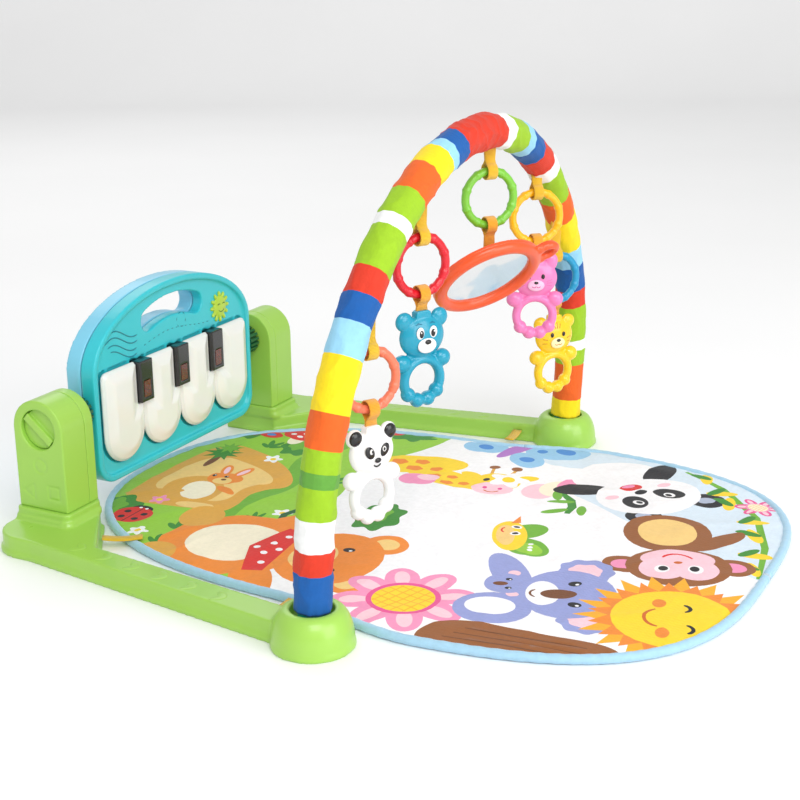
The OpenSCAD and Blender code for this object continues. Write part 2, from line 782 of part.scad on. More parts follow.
color("white") toy_half(0, -1);  // panda_front
color("white") toy_half(0, 1);  // panda_back
color("steelblue") toy_half(1, -1);  // bear_front
color("steelblue") toy_half(1, 1);  // bear_back
mirror_frame();
mirror_plate();
mirror_back();
color("hotpink") toy_half(3, -1);  // cat_front
color("hotpink") toy_half(3, 1);  // cat_back
color("gold") toy_half(4, -1);  // tiger_front
color("gold") toy_half(4, 1);  // tiger_back
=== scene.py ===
"""Looks of an activity play gym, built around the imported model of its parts.

Each operator makes one piece or a group of like pieces, in metres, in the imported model's frame.
Plans and outlines are worked out in millimetres and scaled when a mesh is made."""
import json
import math
import random

import bmesh
import bpy
from bpy.props import FloatProperty, FloatVectorProperty, PointerProperty
from mathutils import Matrix, Vector, geometry, noise


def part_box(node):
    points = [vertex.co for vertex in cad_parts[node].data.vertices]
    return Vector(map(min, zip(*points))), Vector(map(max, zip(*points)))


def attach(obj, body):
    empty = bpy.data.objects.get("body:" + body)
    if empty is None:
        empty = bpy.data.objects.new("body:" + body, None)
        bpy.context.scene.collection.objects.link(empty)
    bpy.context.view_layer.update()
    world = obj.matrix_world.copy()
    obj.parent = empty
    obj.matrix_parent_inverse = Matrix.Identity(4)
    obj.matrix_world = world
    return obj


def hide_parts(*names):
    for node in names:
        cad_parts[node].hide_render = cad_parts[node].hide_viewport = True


bl_info = {
    "name": "Activity play gym",
    "version": (1, 0, 0),
    "blender": (4, 5, 0),
    "location": "View3D > Sidebar > Play gym",
    "description": "Builds the looks of a baby's activity play gym piece by piece",
    "category": "Object",
}

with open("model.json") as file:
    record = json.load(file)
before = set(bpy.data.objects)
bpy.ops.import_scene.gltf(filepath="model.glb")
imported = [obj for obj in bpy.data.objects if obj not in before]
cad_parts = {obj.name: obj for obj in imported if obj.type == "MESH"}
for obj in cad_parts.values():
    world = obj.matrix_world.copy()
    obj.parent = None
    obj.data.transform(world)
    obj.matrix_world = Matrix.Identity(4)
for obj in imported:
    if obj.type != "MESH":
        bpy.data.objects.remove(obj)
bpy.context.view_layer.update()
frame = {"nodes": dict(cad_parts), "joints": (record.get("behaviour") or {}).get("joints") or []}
NODES = frame["nodes"]
JOINTS = {joint["name"]: joint for joint in frame["joints"]}
MM = 0.001
TAU = 2 * math.pi


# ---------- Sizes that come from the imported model, in millimetres
def node_box(node):
    low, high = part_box(node)
    return low / MM, high / MM


def joint_place(name):
    return Vector(JOINTS[name]["pos_m"]) / MM


def joint_turn(name):
    axis = JOINTS[name]["axis"]
    return math.atan2(axis[1], axis[0])


SLEEVE_HIGH = node_box("arch_sleeve")[1]
MAT_LOW, MAT_HIGH = node_box("mat_binding")
PIANO_LOW = node_box("piano_front_shell")[0]
KEY_LOW, KEY_HIGH = node_box("white_key_1")
BLACK_LOW, BLACK_HIGH = node_box("black_keys")
BLACK_PITCH = 64                # from one black key to the next

# The arch is a straight leg, a long bend and a crown on each side, and all of it leans back.
SLEEVE_R = 16.5
TUBE_R = 12.5
HALF_SPAN = SLEEVE_HIGH.x - SLEEVE_R
ARCH_Y = -36.0
LEAN = math.radians(3)
LEAN_Z = 20.0                   # height of the line that the arch leans about
LEG_TOP = 80.0
SLEEVE_FOOT = 33.0
ARCH_TOP = 385.0
BEND = math.radians(45)
LONG_SHIFT = (ARCH_TOP - LEG_TOP - HALF_SPAN) / (1 + math.tan(BEND) - 1 / math.cos(BEND))
LONG_R = HALF_SPAN + LONG_SHIFT
CROWN_R = LONG_R - LONG_SHIFT / math.cos(BEND)
CROWN_Z = LEG_TOP + LONG_SHIFT * math.tan(BEND)
LEG_RUN = LEG_TOP - SLEEVE_FOOT
LONG_RUN = LONG_R * BEND
CROWN_RUN = CROWN_R * 2 * BEND
SLEEVE_RUN = 2 * (LEG_RUN + LONG_RUN) + CROWN_RUN
SLEEVE_SIDES = 72

RING_R = 25.0
RING_TUBE = 3.8
WEB_R = 7.4                     # middle of the webbing's loop round a ring
TOYS = ("panda", "bear", "mirror", "cat", "tiger")
TOY_TURN = {"panda": 66, "bear": 60, "cat": 30, "tiger": 54}
TOY_DROP = 15.5

MAT_TOP = 7.0
MAT_UNDER = 0.3
MAT_NARROWS = 56                # how much narrower the mat is at the piano's end
BINDING_W = 6.0
OUTLINE_STEPS = 2400
BAND_SIDES = 10                 # points round a rod or a band of webbing


def srgb(red, green, blue):
    """Linear colour from the everyday 0 to 255 values."""
    def channel(v):
        v /= 255
        return v / 12.92 if v <= 0.04045 else ((v + 0.055) / 1.055) ** 2.4
    return channel(red), channel(green), channel(blue)


def tint(name, what, red, green, blue):
    return FloatVectorProperty(name=name, description=what, subtype="COLOR", size=3, min=0, max=1,
                               default=srgb(red, green, blue))


def length(name, what, mm, low, high):
    return FloatProperty(name=name, description=what, subtype="DISTANCE", unit="LENGTH",
                         default=mm * MM, min=low * MM, max=high * MM)


class PlayGymColours(bpy.types.PropertyGroup):
    """Colours of the plastics and the cloth"""
    lime: tint("Lime", "Bases and towers", 160, 208, 84)
    deep_green: tint("Deep green", "Tilt wheels and hubs", 30, 95, 60)
    turquoise: tint("Turquoise", "Piano front and arch tube", 48, 196, 208)
    sky: tint("Sky", "Piano back", 128, 205, 232)
    ivory: tint("Ivory", "White keys", 238, 238, 234)
    coral: tint("Coral", "Mirror frame and first ring", 238, 88, 38)
    red: tint("Red", "Red stripes and ring", 214, 52, 24)
    orange: tint("Orange", "Orange stripes", 232, 98, 22)
    yellow: tint("Yellow", "Yellow stripes", 248, 218, 10)
    grass: tint("Grass", "Green stripes", 152, 196, 26)
    blue: tint("Blue", "Dark blue stripes", 0, 88, 165)
    pale_blue: tint("Pale blue", "Light blue stripes and binding", 150, 208, 236)
    webbing: tint("Webbing", "Tabs and straps", 248, 198, 28)


class PlayGymSizes(bpy.types.PropertyGroup):
    """Sizes of the soft pieces"""
    sleeve_wrinkle: length("Sleeve wrinkle", "Depth of the creases in the sleeve", 1.5, 0, 3)
    mat_wrinkle: length("Mat wrinkle", "Height of the soft waves in the mat", 1.9, 0, 4)
    key_crown: length("Key crown", "How far each white key swells", 2.4, 0, 4)
    tab_width: length("Tab width", "Width of the webbing that the toys hang from", 12.5, 8, 14)
    print_grid: length("Print grid", "Spacing of the mat's inner points", 6, 4, 12)


def colours():
    return bpy.context.scene.play_gym_colours


def sizes():
    return bpy.context.scene.play_gym_sizes


# ---------- Finishes
class Finish:
    """One material, with short ways to add nodes to it."""

    def __init__(self, name, colour, roughness, **sockets):
        self.made = bpy.data.materials.new(name)
        self.made.use_nodes = True
        self.nodes = self.made.node_tree.nodes
        self.links = self.made.node_tree.links
        self.shader = self.nodes["Principled BSDF"]
        self.colour = (*colour, 1)
        self.set("Base Color", self.colour)
        self.set("Roughness", roughness)
        for socket, value in sockets.items():
            self.set(socket.replace("_", " "), value)
        self.made.diffuse_color = self.colour

    def set(self, socket, value):
        self.shader.inputs[socket].default_value = value

    def node(self, kind, **settings):
        node = self.nodes.new("ShaderNode" + kind)
        for key, value in settings.items():
            socket = key.replace("_", " ")
            if socket in node.inputs:
                node.inputs[socket].default_value = value
            else:
                setattr(node, key, value)
        return node

    def join(self, start, end):
        self.links.new(start, end)

    def place(self, attribute=None):
        """Where a texture is measured: the object's own metres, or a stored lay of the cloth."""
        if attribute:
            return self.node("Attribute", attribute_name=attribute).outputs["Vector"]
        return self.node("TexCoord").outputs["Object"]

    def noise(self, scale, detail=3.0):
        node = self.node("TexNoise", Scale=scale, Detail=detail)
        self.join(self.place(), node.inputs["Vector"])
        return node.outputs["Fac"]

    def spread(self, factor, low, high):
        node = self.node("MapRange", To_Min=low, To_Max=high)
        self.join(factor, node.inputs["Value"])
        return node.outputs["Result"]

    def shade(self, factor, dark, source=None):
        """Varies the colour between a darker one and itself."""
        mix = self.node("Mix", data_type="RGBA", blend_type="MULTIPLY")
        mix.inputs["Factor"].default_value = 1
        ramp = self.node("ValToRGB")
        ramp.color_ramp.elements[0].position = 0.3
        ramp.color_ramp.elements[1].position = 0.7
        ramp.color_ramp.elements[0].color = (dark, dark, dark, 1)
        self.join(factor, ramp.inputs["Fac"])
        mix.inputs[6].default_value = self.colour
        if source:
            self.join(source, mix.inputs[6])
        self.join(ramp.outputs["Color"], mix.inputs[7])
        self.join(mix.outputs[2], self.shader.inputs["Base Color"])

    def bump(self, factor, strength, distance, under=None):
        node = self.node("Bump", Strength=strength, Distance=distance)
        self.join(factor, node.inputs["Height"])
        if under:
            self.join(under, node.inputs["Normal"])
        return node.outputs["Normal"]

    def finish_normal(self, normal):
        self.join(normal, self.shader.inputs["Normal"])


def plastic(name, colour, roughness=0.3, grain=1.0, **sockets):
    """Moulded plastic: faint flow marks, a fine eggshell grain and uneven gloss."""
    made = Finish(name, colour, roughness, **sockets)
    made.join(made.spread(made.noise(60, 4), roughness * 0.8, roughness * 1.25),
              made.shader.inputs["Roughness"])
    made.shade(made.noise(14, 5), 0.95)
    fine = made.bump(made.noise(1400, 2), 0.12 * grain, 0.0002)
    made.finish_normal(made.bump(made.noise(45, 2), 0.08, 0.0006, fine))
    return made.made


def woven(name, colour, sheen, weave=0.9, lay=None, printed=None):
    """Plain-woven cloth: crossing threads, slubs, a soft sheen and faint uneven soiling."""
    roughness = 0.82
    made = Finish(name, colour, roughness, Sheen_Weight=sheen, Sheen_Roughness=0.45)
    place = made.place(lay)
    threads = made.node("Math", operation="MAXIMUM")
    for i, way in enumerate("XY"):
        thread = made.node("TexWave", Scale=1 / weave / 2 / MM / TAU, bands_direction=way,
                           Distortion=0.6, Detail=1.0)
        made.join(place, thread.inputs["Vector"])
        made.join(thread.outputs["Fac"], threads.inputs[i])
    source = None
    if printed:
        source = made.node("Attribute", attribute_name=printed).outputs["Color"]
    made.shade(made.noise(220, 6), 0.93, source)
    made.join(made.spread(made.noise(90), roughness - 0.08, roughness + 0.08),
              made.shader.inputs["Roughness"])
    under = made.bump(threads.outputs["Value"], 0.3, 0.0003)
    made.finish_normal(made.bump(made.noise(160, 3), 0.15, 0.0008, under))
    return made.made


def ribbed(name, colour):
    """Grosgrain webbing: ribs across its length, with a shadow between them."""
    rib = 1.7
    made = Finish(name, colour, 0.7, Sheen_Weight=0.3)
    ribs = made.node("TexWave", Scale=1 / rib / MM / TAU * 3.1, bands_direction="X",
                     Distortion=0.4, Detail=1.0)
    made.join(made.place("lay"), ribs.inputs["Vector"])
    made.shade(ribs.outputs["Fac"], 0.8)
    made.finish_normal(made.bump(ribs.outputs["Fac"], 0.7, 0.0007))
    return made.made


def metal(name, colour):
    """Plated steel: fine scratches and uneven gloss."""
    roughness = 0.3
    made = Finish(name, colour, roughness, Metallic=1.0)
    made.join(made.spread(made.noise(400, 4), roughness * 0.7, roughness * 1.4),
              made.shader.inputs["Roughness"])
    made.shade(made.noise(90, 4), 0.85)
    made.finish_normal(made.bump(made.noise(2200, 2), 0.1, 0.0001))
    return made.made


FINISHES = {}


def finish(name):
    """A finish by name, made the first time that it is asked for."""
    if name not in FINISHES:
        FINISHES[name] = make_finish(name)
    return FINISHES[name]


def make_finish(name):
    c = colours()
    stripes = {"stripe_red": c.red, "stripe_orange": c.orange, "stripe_yellow": c.yellow,
               "stripe_grass": c.grass, "stripe_blue": c.blue, "stripe_pale": c.pale_blue,
               "stripe_white": srgb(240, 241, 240), "stripe_leaf": srgb(96, 160, 58)}
    plain = {"lime_plastic": c.lime, "turquoise_plastic": c.turquoise, "sky_plastic": c.sky,
             "deep_green_plastic": c.deep_green, "coral_plastic": c.coral,
             "salmon_ring": srgb(238, 122, 90), "red_ring": srgb(214, 18, 38),
             "green_ring": srgb(122, 196, 56), "yellow_ring": srgb(252, 188, 16),
             "blue_ring": srgb(22, 150, 196), "bear_blue": srgb(18, 152, 182),
             "bear_deep": srgb(8, 112, 142), "cat_pink": srgb(240, 128, 188),
             "cat_deep": srgb(206, 84, 150), "cat_pale": srgb(250, 190, 222),
             "tiger_yellow": srgb(252, 206, 30), "tiger_brown": srgb(176, 92, 18),
             "tiger_pale": srgb(255, 240, 178), "toy_white": srgb(242, 242, 242),
             "toy_black": srgb(28, 28, 30), "toy_red": srgb(205, 40, 30),
             "badge_lime": srgb(178, 210, 62), "badge_line": srgb(74, 120, 30),
             # painted shade: a darker teal that stands in for the shadow inside the carved grooves
             "painted_groove_shade": srgb(20, 132, 148), "dark_parts": srgb(38, 38, 42),
             "led_white": srgb(240, 240, 228)}
    if name in stripes:
        return woven(name, stripes[name], 0.07, lay="lay")
    if name in plain:
        gloss = 0.22 if name.startswith(("toy", "bear", "cat", "tiger")) else 0.3
        return plastic(name, plain[name], gloss, Coat_Weight=0.15)
    if name == "ivory_plastic":
        return plastic(name, c.ivory, 0.16, 0.3, Coat_Weight=0.5, Coat_Roughness=0.08,
                       Subsurface_Weight=0.08)
    if name == "black_gloss":
        return plastic(name, srgb(26, 26, 28), 0.2, 0.2, Coat_Weight=0.5, Coat_Roughness=0.12)
    if name == "light_window":
        made = Finish(name, srgb(112, 44, 34), 0.15, Coat_Weight=0.6)
        cells = made.node("TexVoronoi", Scale=900)
        made.join(made.place(), cells.inputs["Vector"])
        made.shade(cells.outputs["Distance"], 0.35)
        made.finish_normal(made.bump(cells.outputs["Distance"], 0.4, 0.0004))
        return made.made
    if name == "rubber_grey":
        return plastic(name, srgb(92, 92, 94), 0.75, 3.0)
    if name == "steel":
        return metal(name, srgb(198, 198, 202))
    if name == "board_green":
        return plastic(name, srgb(24, 92, 52), 0.4, 2.0)
    if name == "mirror_film":
        made = Finish(name, srgb(232, 236, 238), 0.05, Metallic=1.0, Coat_Weight=0.4)
        made.join(made.spread(made.noise(40), 0.03, 0.09), made.shader.inputs["Roughness"])
        made.finish_normal(made.bump(made.noise(26, 1), 0.25, 0.002))
        return made.made
    if name == "mat_print":
        return woven(name, srgb(245, 245, 245), 0.1, 1.1, printed="print")
    if name == "mat_under":
        return woven(name, srgb(236, 238, 240), 0.2, 1.4)
    if name == "binding_fabric":
        return woven(name, srgb(164, 206, 230), 0.4, 1.0, lay="lay")
    if name == "webbing":
        return ribbed(name, c.webbing)
    if name == "strap_webbing":
        return ribbed(name, srgb(252, 176, 30))
    if name == "floor":
        made = Finish(name, srgb(252, 252, 252), 0.6)
        made.shade(made.noise(3, 2), 0.985)
        return made.made
    raise ValueError(f"no finish is named {name}")


# ---------- Meshes
def new_piece(name, points, faces, finishes, face_finish=None):
    """An object from points in millimetres."""
    mesh = bpy.data.meshes.new(name)
    mesh.from_pydata([tuple(v * MM for v in p) for p in points], [], faces)
    for item in finishes:
        mesh.materials.append(finish(item))
    if face_finish:
        mesh.polygons.foreach_set("material_index", face_finish)
    mesh.polygons.foreach_set("use_smooth", [True] * len(mesh.polygons))
    mesh.update()
    piece = bpy.data.objects.new(name, mesh)
    bpy.context.scene.collection.objects.link(piece)
    return piece


def settle(piece):
    """Applies every modifier of the piece."""
    graph = bpy.context.evaluated_depsgraph_get()
    graph.update()
    mesh = bpy.data.meshes.new_from_object(piece.evaluated_get(graph))
    piece.modifiers.clear()
    old = piece.data
    mesh.name = old.name
    piece.data = mesh
    bpy.data.meshes.remove(old)
    mesh.polygons.foreach_set("use_smooth", [True] * len(mesh.polygons))


def mend(piece, weld=0.0):
    """Turns every face outward, once points nearer than weld metres are one."""
    body = bmesh.new()
    body.from_mesh(piece.data)
    if weld:
        bmesh.ops.remove_doubles(body, verts=body.verts, dist=weld)
    bmesh.ops.recalc_face_normals(body, faces=body.faces)
    body.to_mesh(piece.data)
    body.free()


def melt(piece, voxel, rounds, keep, finish_name):
    """Joins overlapping closed shapes into one skin with soft edges. Voxel is in millimetres."""
    skin = piece.modifiers.new("skin", "REMESH")
    skin.mode = "VOXEL"
    skin.voxel_size = voxel * MM
    soft = piece.modifiers.new("soft", "SMOOTH")
    soft.factor = 0.5
    soft.iterations = rounds
    if keep < 1:
        thin = piece.modifiers.new("thin", "DECIMATE")
        thin.ratio = keep
    settle(piece)
    piece.data.materials.clear()
    piece.data.materials.append(finish(finish_name))


def dress(piece, body, slot, *nodes):
    """Puts a finished piece on its body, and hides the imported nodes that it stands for."""
    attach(piece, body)
    if nodes:
        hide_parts(*nodes)


def soften(node, name, body, slot, voxel, rounds, keep=0.4, finish_name=None):
    """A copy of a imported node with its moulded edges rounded."""
    piece = bpy.data.objects.new(name, NODES[node].data.copy())
    bpy.context.scene.collection.objects.link(piece)
    weld = piece.modifiers.new("weld", "WELD")
    weld.merge_threshold = 0.00002
    melt(piece, voxel, rounds, keep, finish_name or slot)
    dress(piece, body, slot, node)
    return piece


def tube_faces(rings, sides, closed=False, other_way=False):
    """Faces between rings of points. A closed tube joins its last ring to its first."""
    faces = []
    for i in range(rings if closed else rings - 1):
        here, ahead = i * sides, (i + 1) % rings * sides
        for j in range(sides):
            k = (j + 1) % sides
            face = (here + j, ahead + j, ahead + k, here + k)
            faces.append((face[0], face[3], face[2], face[1]) if other_way else face)
    return faces


def rod_faces(rings, sides):
    """An open tube with a face over each end."""
    last = (rings - 1) * sides
    return tube_faces(rings, sides, other_way=True) + [tuple(range(sides - 1, -1, -1)),
                                                       tuple(range(last, last + sides))]


def step_along(path, i):
    """The way a path runs at one of its points."""
    return path[min(i + 1, len(path) - 1)] - path[max(i - 1, 0)]


class Shapes:
    """Gathers simple closed shapes, in millimetres, that are melted or kept as one piece."""

    def __init__(self, matrix=None):
        self.points, self.faces, self.marks = [], [], []
        self.matrix = matrix or Matrix.Identity(4)

    def add(self, points, faces, mark=0):
        start = len(self.points)
        self.points += [self.matrix @ Vector(p) for p in points]
        self.faces += [tuple(start + i for i in f) for f in faces]
        self.marks += [mark] * len(faces)

    def ball(self, centre, radii, mark=0, turn=0, n=20):
        """An ellipsoid, turned in its own plane."""
        rows, cos_t, sin_t = n // 2, math.cos(turn), math.sin(turn)
        points = []
        for i in range(rows + 1):
            lift = math.pi * i / rows
            for j in range(n):
                around = TAU * j / n
                x = radii[0] * math.sin(lift) * math.cos(around)
                y = radii[1] * math.sin(lift) * math.sin(around)
                points.append((centre[0] + x * cos_t - y * sin_t,
                               centre[1] + x * sin_t + y * cos_t,
                               centre[2] + radii[2] * math.cos(lift)))
        self.add(points, tube_faces(rows + 1, n), mark)

    def ring(self, centre, radius, rod, flat=1.0, n=64, m=16):
        """A ring with a round or flattened rod."""
        points = []
        for i in range(n):
            a = TAU * i / n
            for j in range(m):
                b = TAU * j / m
                r = radius + rod * math.cos(b)
                points.append((centre[0] + r * math.cos(a), centre[1] + r * math.sin(a),
                               centre[2] + rod * flat * math.sin(b)))
        self.add(points, tube_faces(n, m, closed=True))

    def rod(self, path, radius, mark=0):
        """A round rod along a path, with closed ends."""
        path = [Vector(p) for p in path]
        points = []
        for i, at in enumerate(path):
            run = step_along(path, i)
            side = run.cross(Vector((0, 0, 1)))
            if side.length < 1e-6:
                side = Vector((1, 0, 0))
            side.normalize()
            up = run.cross(side).normalized()
            r = radius * (0.35 if i in (0, len(path) - 1) else 1)
            for j in range(BAND_SIDES):
                a = TAU * j / BAND_SIDES
                points.append(at + side * r * math.cos(a) + up * r * math.sin(a))
        self.add(points, rod_faces(len(path), BAND_SIDES), mark)

    def slab(self, outline, z0, z1):
        """A flat plate between two heights."""
        n = len(outline)
        points = [(x, y, z0) for x, y in outline] + [(x, y, z1) for x, y in outline]
        self.add(points, rod_faces(2, n))

    def piece(self, name, finishes):
        made = new_piece(name, self.points, self.faces, finishes, self.marks)
        mend(made, weld=1e-7)
        return made


def store_lay(piece, values):
    """Keeps the lay of the cloth, in metres along and across, with each point."""
    lay = piece.data.attributes.new("lay", "FLOAT_VECTOR", "POINT")
    lay.data.foreach_set("vector", [v * MM for p in values for v in p])


# A band's section: shares of its half width and of half its thickness.
BAND = ((-1, -0.5), (-0.9, -1), (0, -1), (0.9, -1), (1, -0.5),
        (1, 0.5), (0.9, 1), (0, 1), (-0.9, 1), (-1, 0.5))


def ribbon(name, path, widths, thick, across, finish_name):
    """A flat band along a path: across is the direction of its width."""
    points, lay, run = [], [], 0.0
    path = [Vector(p) for p in path]
    for i, at in enumerate(path):
        out = step_along(path, i).cross(across).normalized()
        if i:
            run += (at - path[i - 1]).length
        half = widths[i] / 2
        for s, t in BAND:
            points.append(at + across * s * half + out * t * thick / 2)
            lay.append((run, s * half, 0))
    piece = new_piece(name, points, rod_faces(len(path), BAND_SIDES), [finish_name])
    store_lay(piece, lay)
    mend(piece)
    return piece


def wave(x, y, z=0.0):
    """Smooth noise between -1 and 1, the same at each run."""
    return noise.noise(Vector((x, y, z)))


def smooth_step(t):
    """Rises from 0 to 1 with a soft start and end."""
    t = min(max(t, 0.0), 1.0)
    return t * t * (3 - 2 * t)


# ---------- Bases, towers and tilt parts
def build_base():
    for side, sign in (("left", -1), ("right", 1)):
        for node, name, body, voxel, rounds in (
                ("base_shell", "base_cover", "frame", 1.5, 5),
                ("tower_outer", "tower_cover", "frame", 0.9, 3),
                ("tower_inner", "tower_lining", "frame", 0.9, 3),
                ("tilt_dial", "dial_knob", f"{side}_dial", 0.7, 3)):
            soften(f"{side}_{node}", f"{side}_{name}", body, "lime_plastic", voxel, rounds)
        build_leaves(side, sign)


def build_leaves(side, sign):
    """Shallow raised leaves in a row along the top of an arm."""
    count, top = 6, 20.0
    start, end = Vector((274, 60)), Vector((243, 236))
    shapes = Shapes()
    for i in range(count):
        at = start.lerp(end, i / (count - 1))
        for turn in (-0.7, 0.7):
            centre = (sign * (at.x + 5 * turn), at.y, top - 0.15)
            shapes.ball(centre, (4.4, 8.0, 0.75), turn=-sign * turn, n=24)
        shapes.rod([(sign * at.x, at.y - 12, top), (sign * at.x, at.y + 6, top + 0.2)], 0.55)
    piece = shapes.piece(f"{side}_leaf_relief", ["lime_plastic"])
    melt(piece, 0.55, 3, 0.5, "lime_plastic")
    dress(piece, "frame", "lime_plastic")


def dress_hardware():
    """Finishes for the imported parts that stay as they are."""
    kept = {"base_plates": "lime_plastic", "frame_screws": "steel", "rubber_feet": "rubber_grey",
            "detent_springs": "steel", "arch_side_tubes": "turquoise_plastic",
            "arch_crown_tube": "turquoise_plastic", "arch_plugs": "turquoise_plastic",
            "pivot_hubs": "deep_green_plastic", "detent_wheels": "deep_green_plastic",
            "piano_screws": "steel", "circuit_board": "board_green", "key_lights": "led_white",
            "speaker": "dark_parts", "battery_door": "sky_plastic", "batteries": "dark_parts",
            "light_windows": "light_window", "key_dome_strip": "rubber_grey",
            "mode_switch": "yellow_ring", "mirror_plate": "mirror_film"}
    for node, name in kept.items():
        mesh = NODES[node].data
        mesh.materials.clear()
        mesh.materials.append(finish(name))


# ---------- Piano
def key_edge(x, z, centre):
    """How far a point of a white key's face lies inside the key's outline."""
    half = (KEY_HIGH.x - KEY_LOW.x) / 2
    mid = KEY_LOW.z + half
    out = abs(x - centre)
    near = half - math.hypot(out, z - mid) if z < mid else min(half - out, KEY_HIGH.z - z)
    black = (BLACK_HIGH.x - BLACK_LOW.x - 2 * BLACK_PITCH) / 2 + 0.6
    for place in (-BLACK_PITCH, 0, BLACK_PITCH):
        if abs(place - centre) < KEY_HIGH.x - KEY_LOW.x:
            over = max(abs(x - place) - black, (BLACK_LOW.z - 1.2) - z)
            near = min(near, over)
    return max(near, 0)


def build_piano():
    soften("piano_front_shell", "piano_front_cover", "piano", "turquoise_plastic", 1.2, 9)
    soften("piano_rear_shell", "piano_rear_cover", "piano", "sky_plastic", 1.2, 4)
    soften("black_keys", "black_key_caps", "piano", "black_plastic", 0.8, 14,
           finish_name="black_gloss")
    face_depth, soft_edge, edge_drop = 4, 15, 1.6
    crown = sizes().key_crown
    for i in range(4):
        node = f"white_key_{i + 1}"
        low, high = node_box(node)
        piece = soften(node, f"{node}_cap", f"key_{i + 1}", "ivory_plastic", 0.9, 8, 1.0)
        centre = (low.x + high.x) / 2
        for point in piece.data.vertices:
            x, y, z = point.co / MM
            if y < low.y + face_depth:
                rise = smooth_step(key_edge(x, z, centre) / soft_edge)
                point.co.y += (1 - rise) * edge_drop * MM - rise * crown
    build_badge()
    build_carving()


def build_badge():
    """A small sun with a sleepy smile, on the panel beside the handle slot."""
    low, high = node_box("sun_badge")
    centre = (low + high) / 2
    upright = Matrix.Translation((centre.x, high.y, centre.z)) @ Matrix.Rotation(
        math.radians(90), 4, "X")
    sun = Shapes(upright)
    sun.ball((0, 0, 0.4), (12, 12, 3.0), n=32)
    for i in range(12):
        a = TAU * i / 12
        sun.ball((13.6 * math.cos(a), 13.6 * math.sin(a), 0.6), (3.6, 2.2, 1.9), turn=a)
    piece = sun.piece("sun_badge_cap", ["badge_lime"])
    melt(piece, 0.4, 2, 0.5, "badge_lime")
    dress(piece, "piano", "lime_plastic", "sun_badge")
    lines = Shapes(upright)
    for s in (-1, 1):
        lines.rod([(s * 4.4 + 2.2 * math.cos(a), 2.2 + 1.8 * math.sin(a), 3.2)
                   for a in map(math.radians, range(20, 161, 20))], 0.5)
    lines.rod([(5.6 * math.cos(a), -0.6 + 4.6 * math.sin(a), 3.1 - 0.3 * abs(math.cos(a)))
               for a in map(math.radians, range(205, 336, 10))], 0.55)
    dress(lines.piece("sun_badge_smile", ["badge_line"]), "piano", "lime_plastic")


def build_carving():
    """Carved wavy lines and a dashed flight path on the piano's panel, drawn as thin rods whose
    darker teal is painted shade standing in for the grooves' shadow.
    """
    depth = PIANO_LOW.y + 4.1
    lines = Shapes()
    for k, start in enumerate((176, 170, 163, 157)):
        path = [(-118 + k * 4 + u, depth, start + 7 * math.sin(u / 11 + k * 0.5) + u * 0.05)
                for u in range(0, 58 - 5 * k, 2)]
        lines.rod(path, 0.7)
    dashes = [(u - 52, depth, 158 + 5 * math.sin(u / 26) + u * 0.03) for u in range(0, 124, 2)]
    circle = [(14 + 8 * math.sin(a), depth, 170 - 8 * math.cos(a))
              for a in [TAU * i / 24 for i in range(25)]]
    for line in (dashes, circle):
        for i in range(0, len(line) - 2, 4):
            lines.rod(line[i:i + 3], 0.55)
    # the lines' darker teal is painted shade for the carved grooves, not a colour of the plastic
    dress(lines.piece("piano_carving_painted_shade", ["painted_groove_shade"]), "piano", "turquoise_plastic")


# ---------- Arch sleeve
def arch_point(run):
    """Middle line of the arch at a run from the left foot: its point and its direction."""
    if run > SLEEVE_RUN / 2:
        at, way = arch_point(SLEEVE_RUN - run)
        return Vector((-at.x, at.y, at.z)), Vector((way.x, -way.y, -way.z))
    if run < LEG_RUN:
        x, z, a = -HALF_SPAN, SLEEVE_FOOT + run, 0.0
    elif run < LEG_RUN + LONG_RUN:
        a = (run - LEG_RUN) / LONG_R
        x, z = -(HALF_SPAN - LONG_R + LONG_R * math.cos(a)), LEG_TOP + LONG_R * math.sin(a)
    else:
        a = BEND + (run - LEG_RUN - LONG_RUN) / CROWN_R
        x, z = -CROWN_R * math.cos(a), CROWN_Z + CROWN_R * math.sin(a)
    rise = z - LEAN_Z
    at = Vector((x, ARCH_Y - rise * math.sin(LEAN), LEAN_Z + rise * math.cos(LEAN)))
    way = Vector((math.sin(a), -math.cos(a) * math.sin(LEAN), math.cos(a) * math.cos(LEAN)))
    return at, way


STRIPES = (("blue", 34), ("red", 20), ("white", 26), ("grass", 26), ("leaf", 12), ("grass", 18),
           ("orange", 29), ("yellow", 45), ("pale", 28), ("blue", 23), ("red", 23), ("grass", 39),
           ("white", 12), ("grass", 28), ("orange", 33), ("yellow", 26), ("pale", 12),
           ("blue", 20), ("red", 84), ("white", 22), ("grass", 34), ("pale", 15), ("blue", 29),
           ("red", 30), ("white", 17), ("grass", 44), ("orange", 32), ("yellow", 44),
           ("pale", 23), ("blue", 32), ("red", 21), ("grass", 42), ("white", 12), ("grass", 18),
           ("orange", 42), ("yellow", 21))


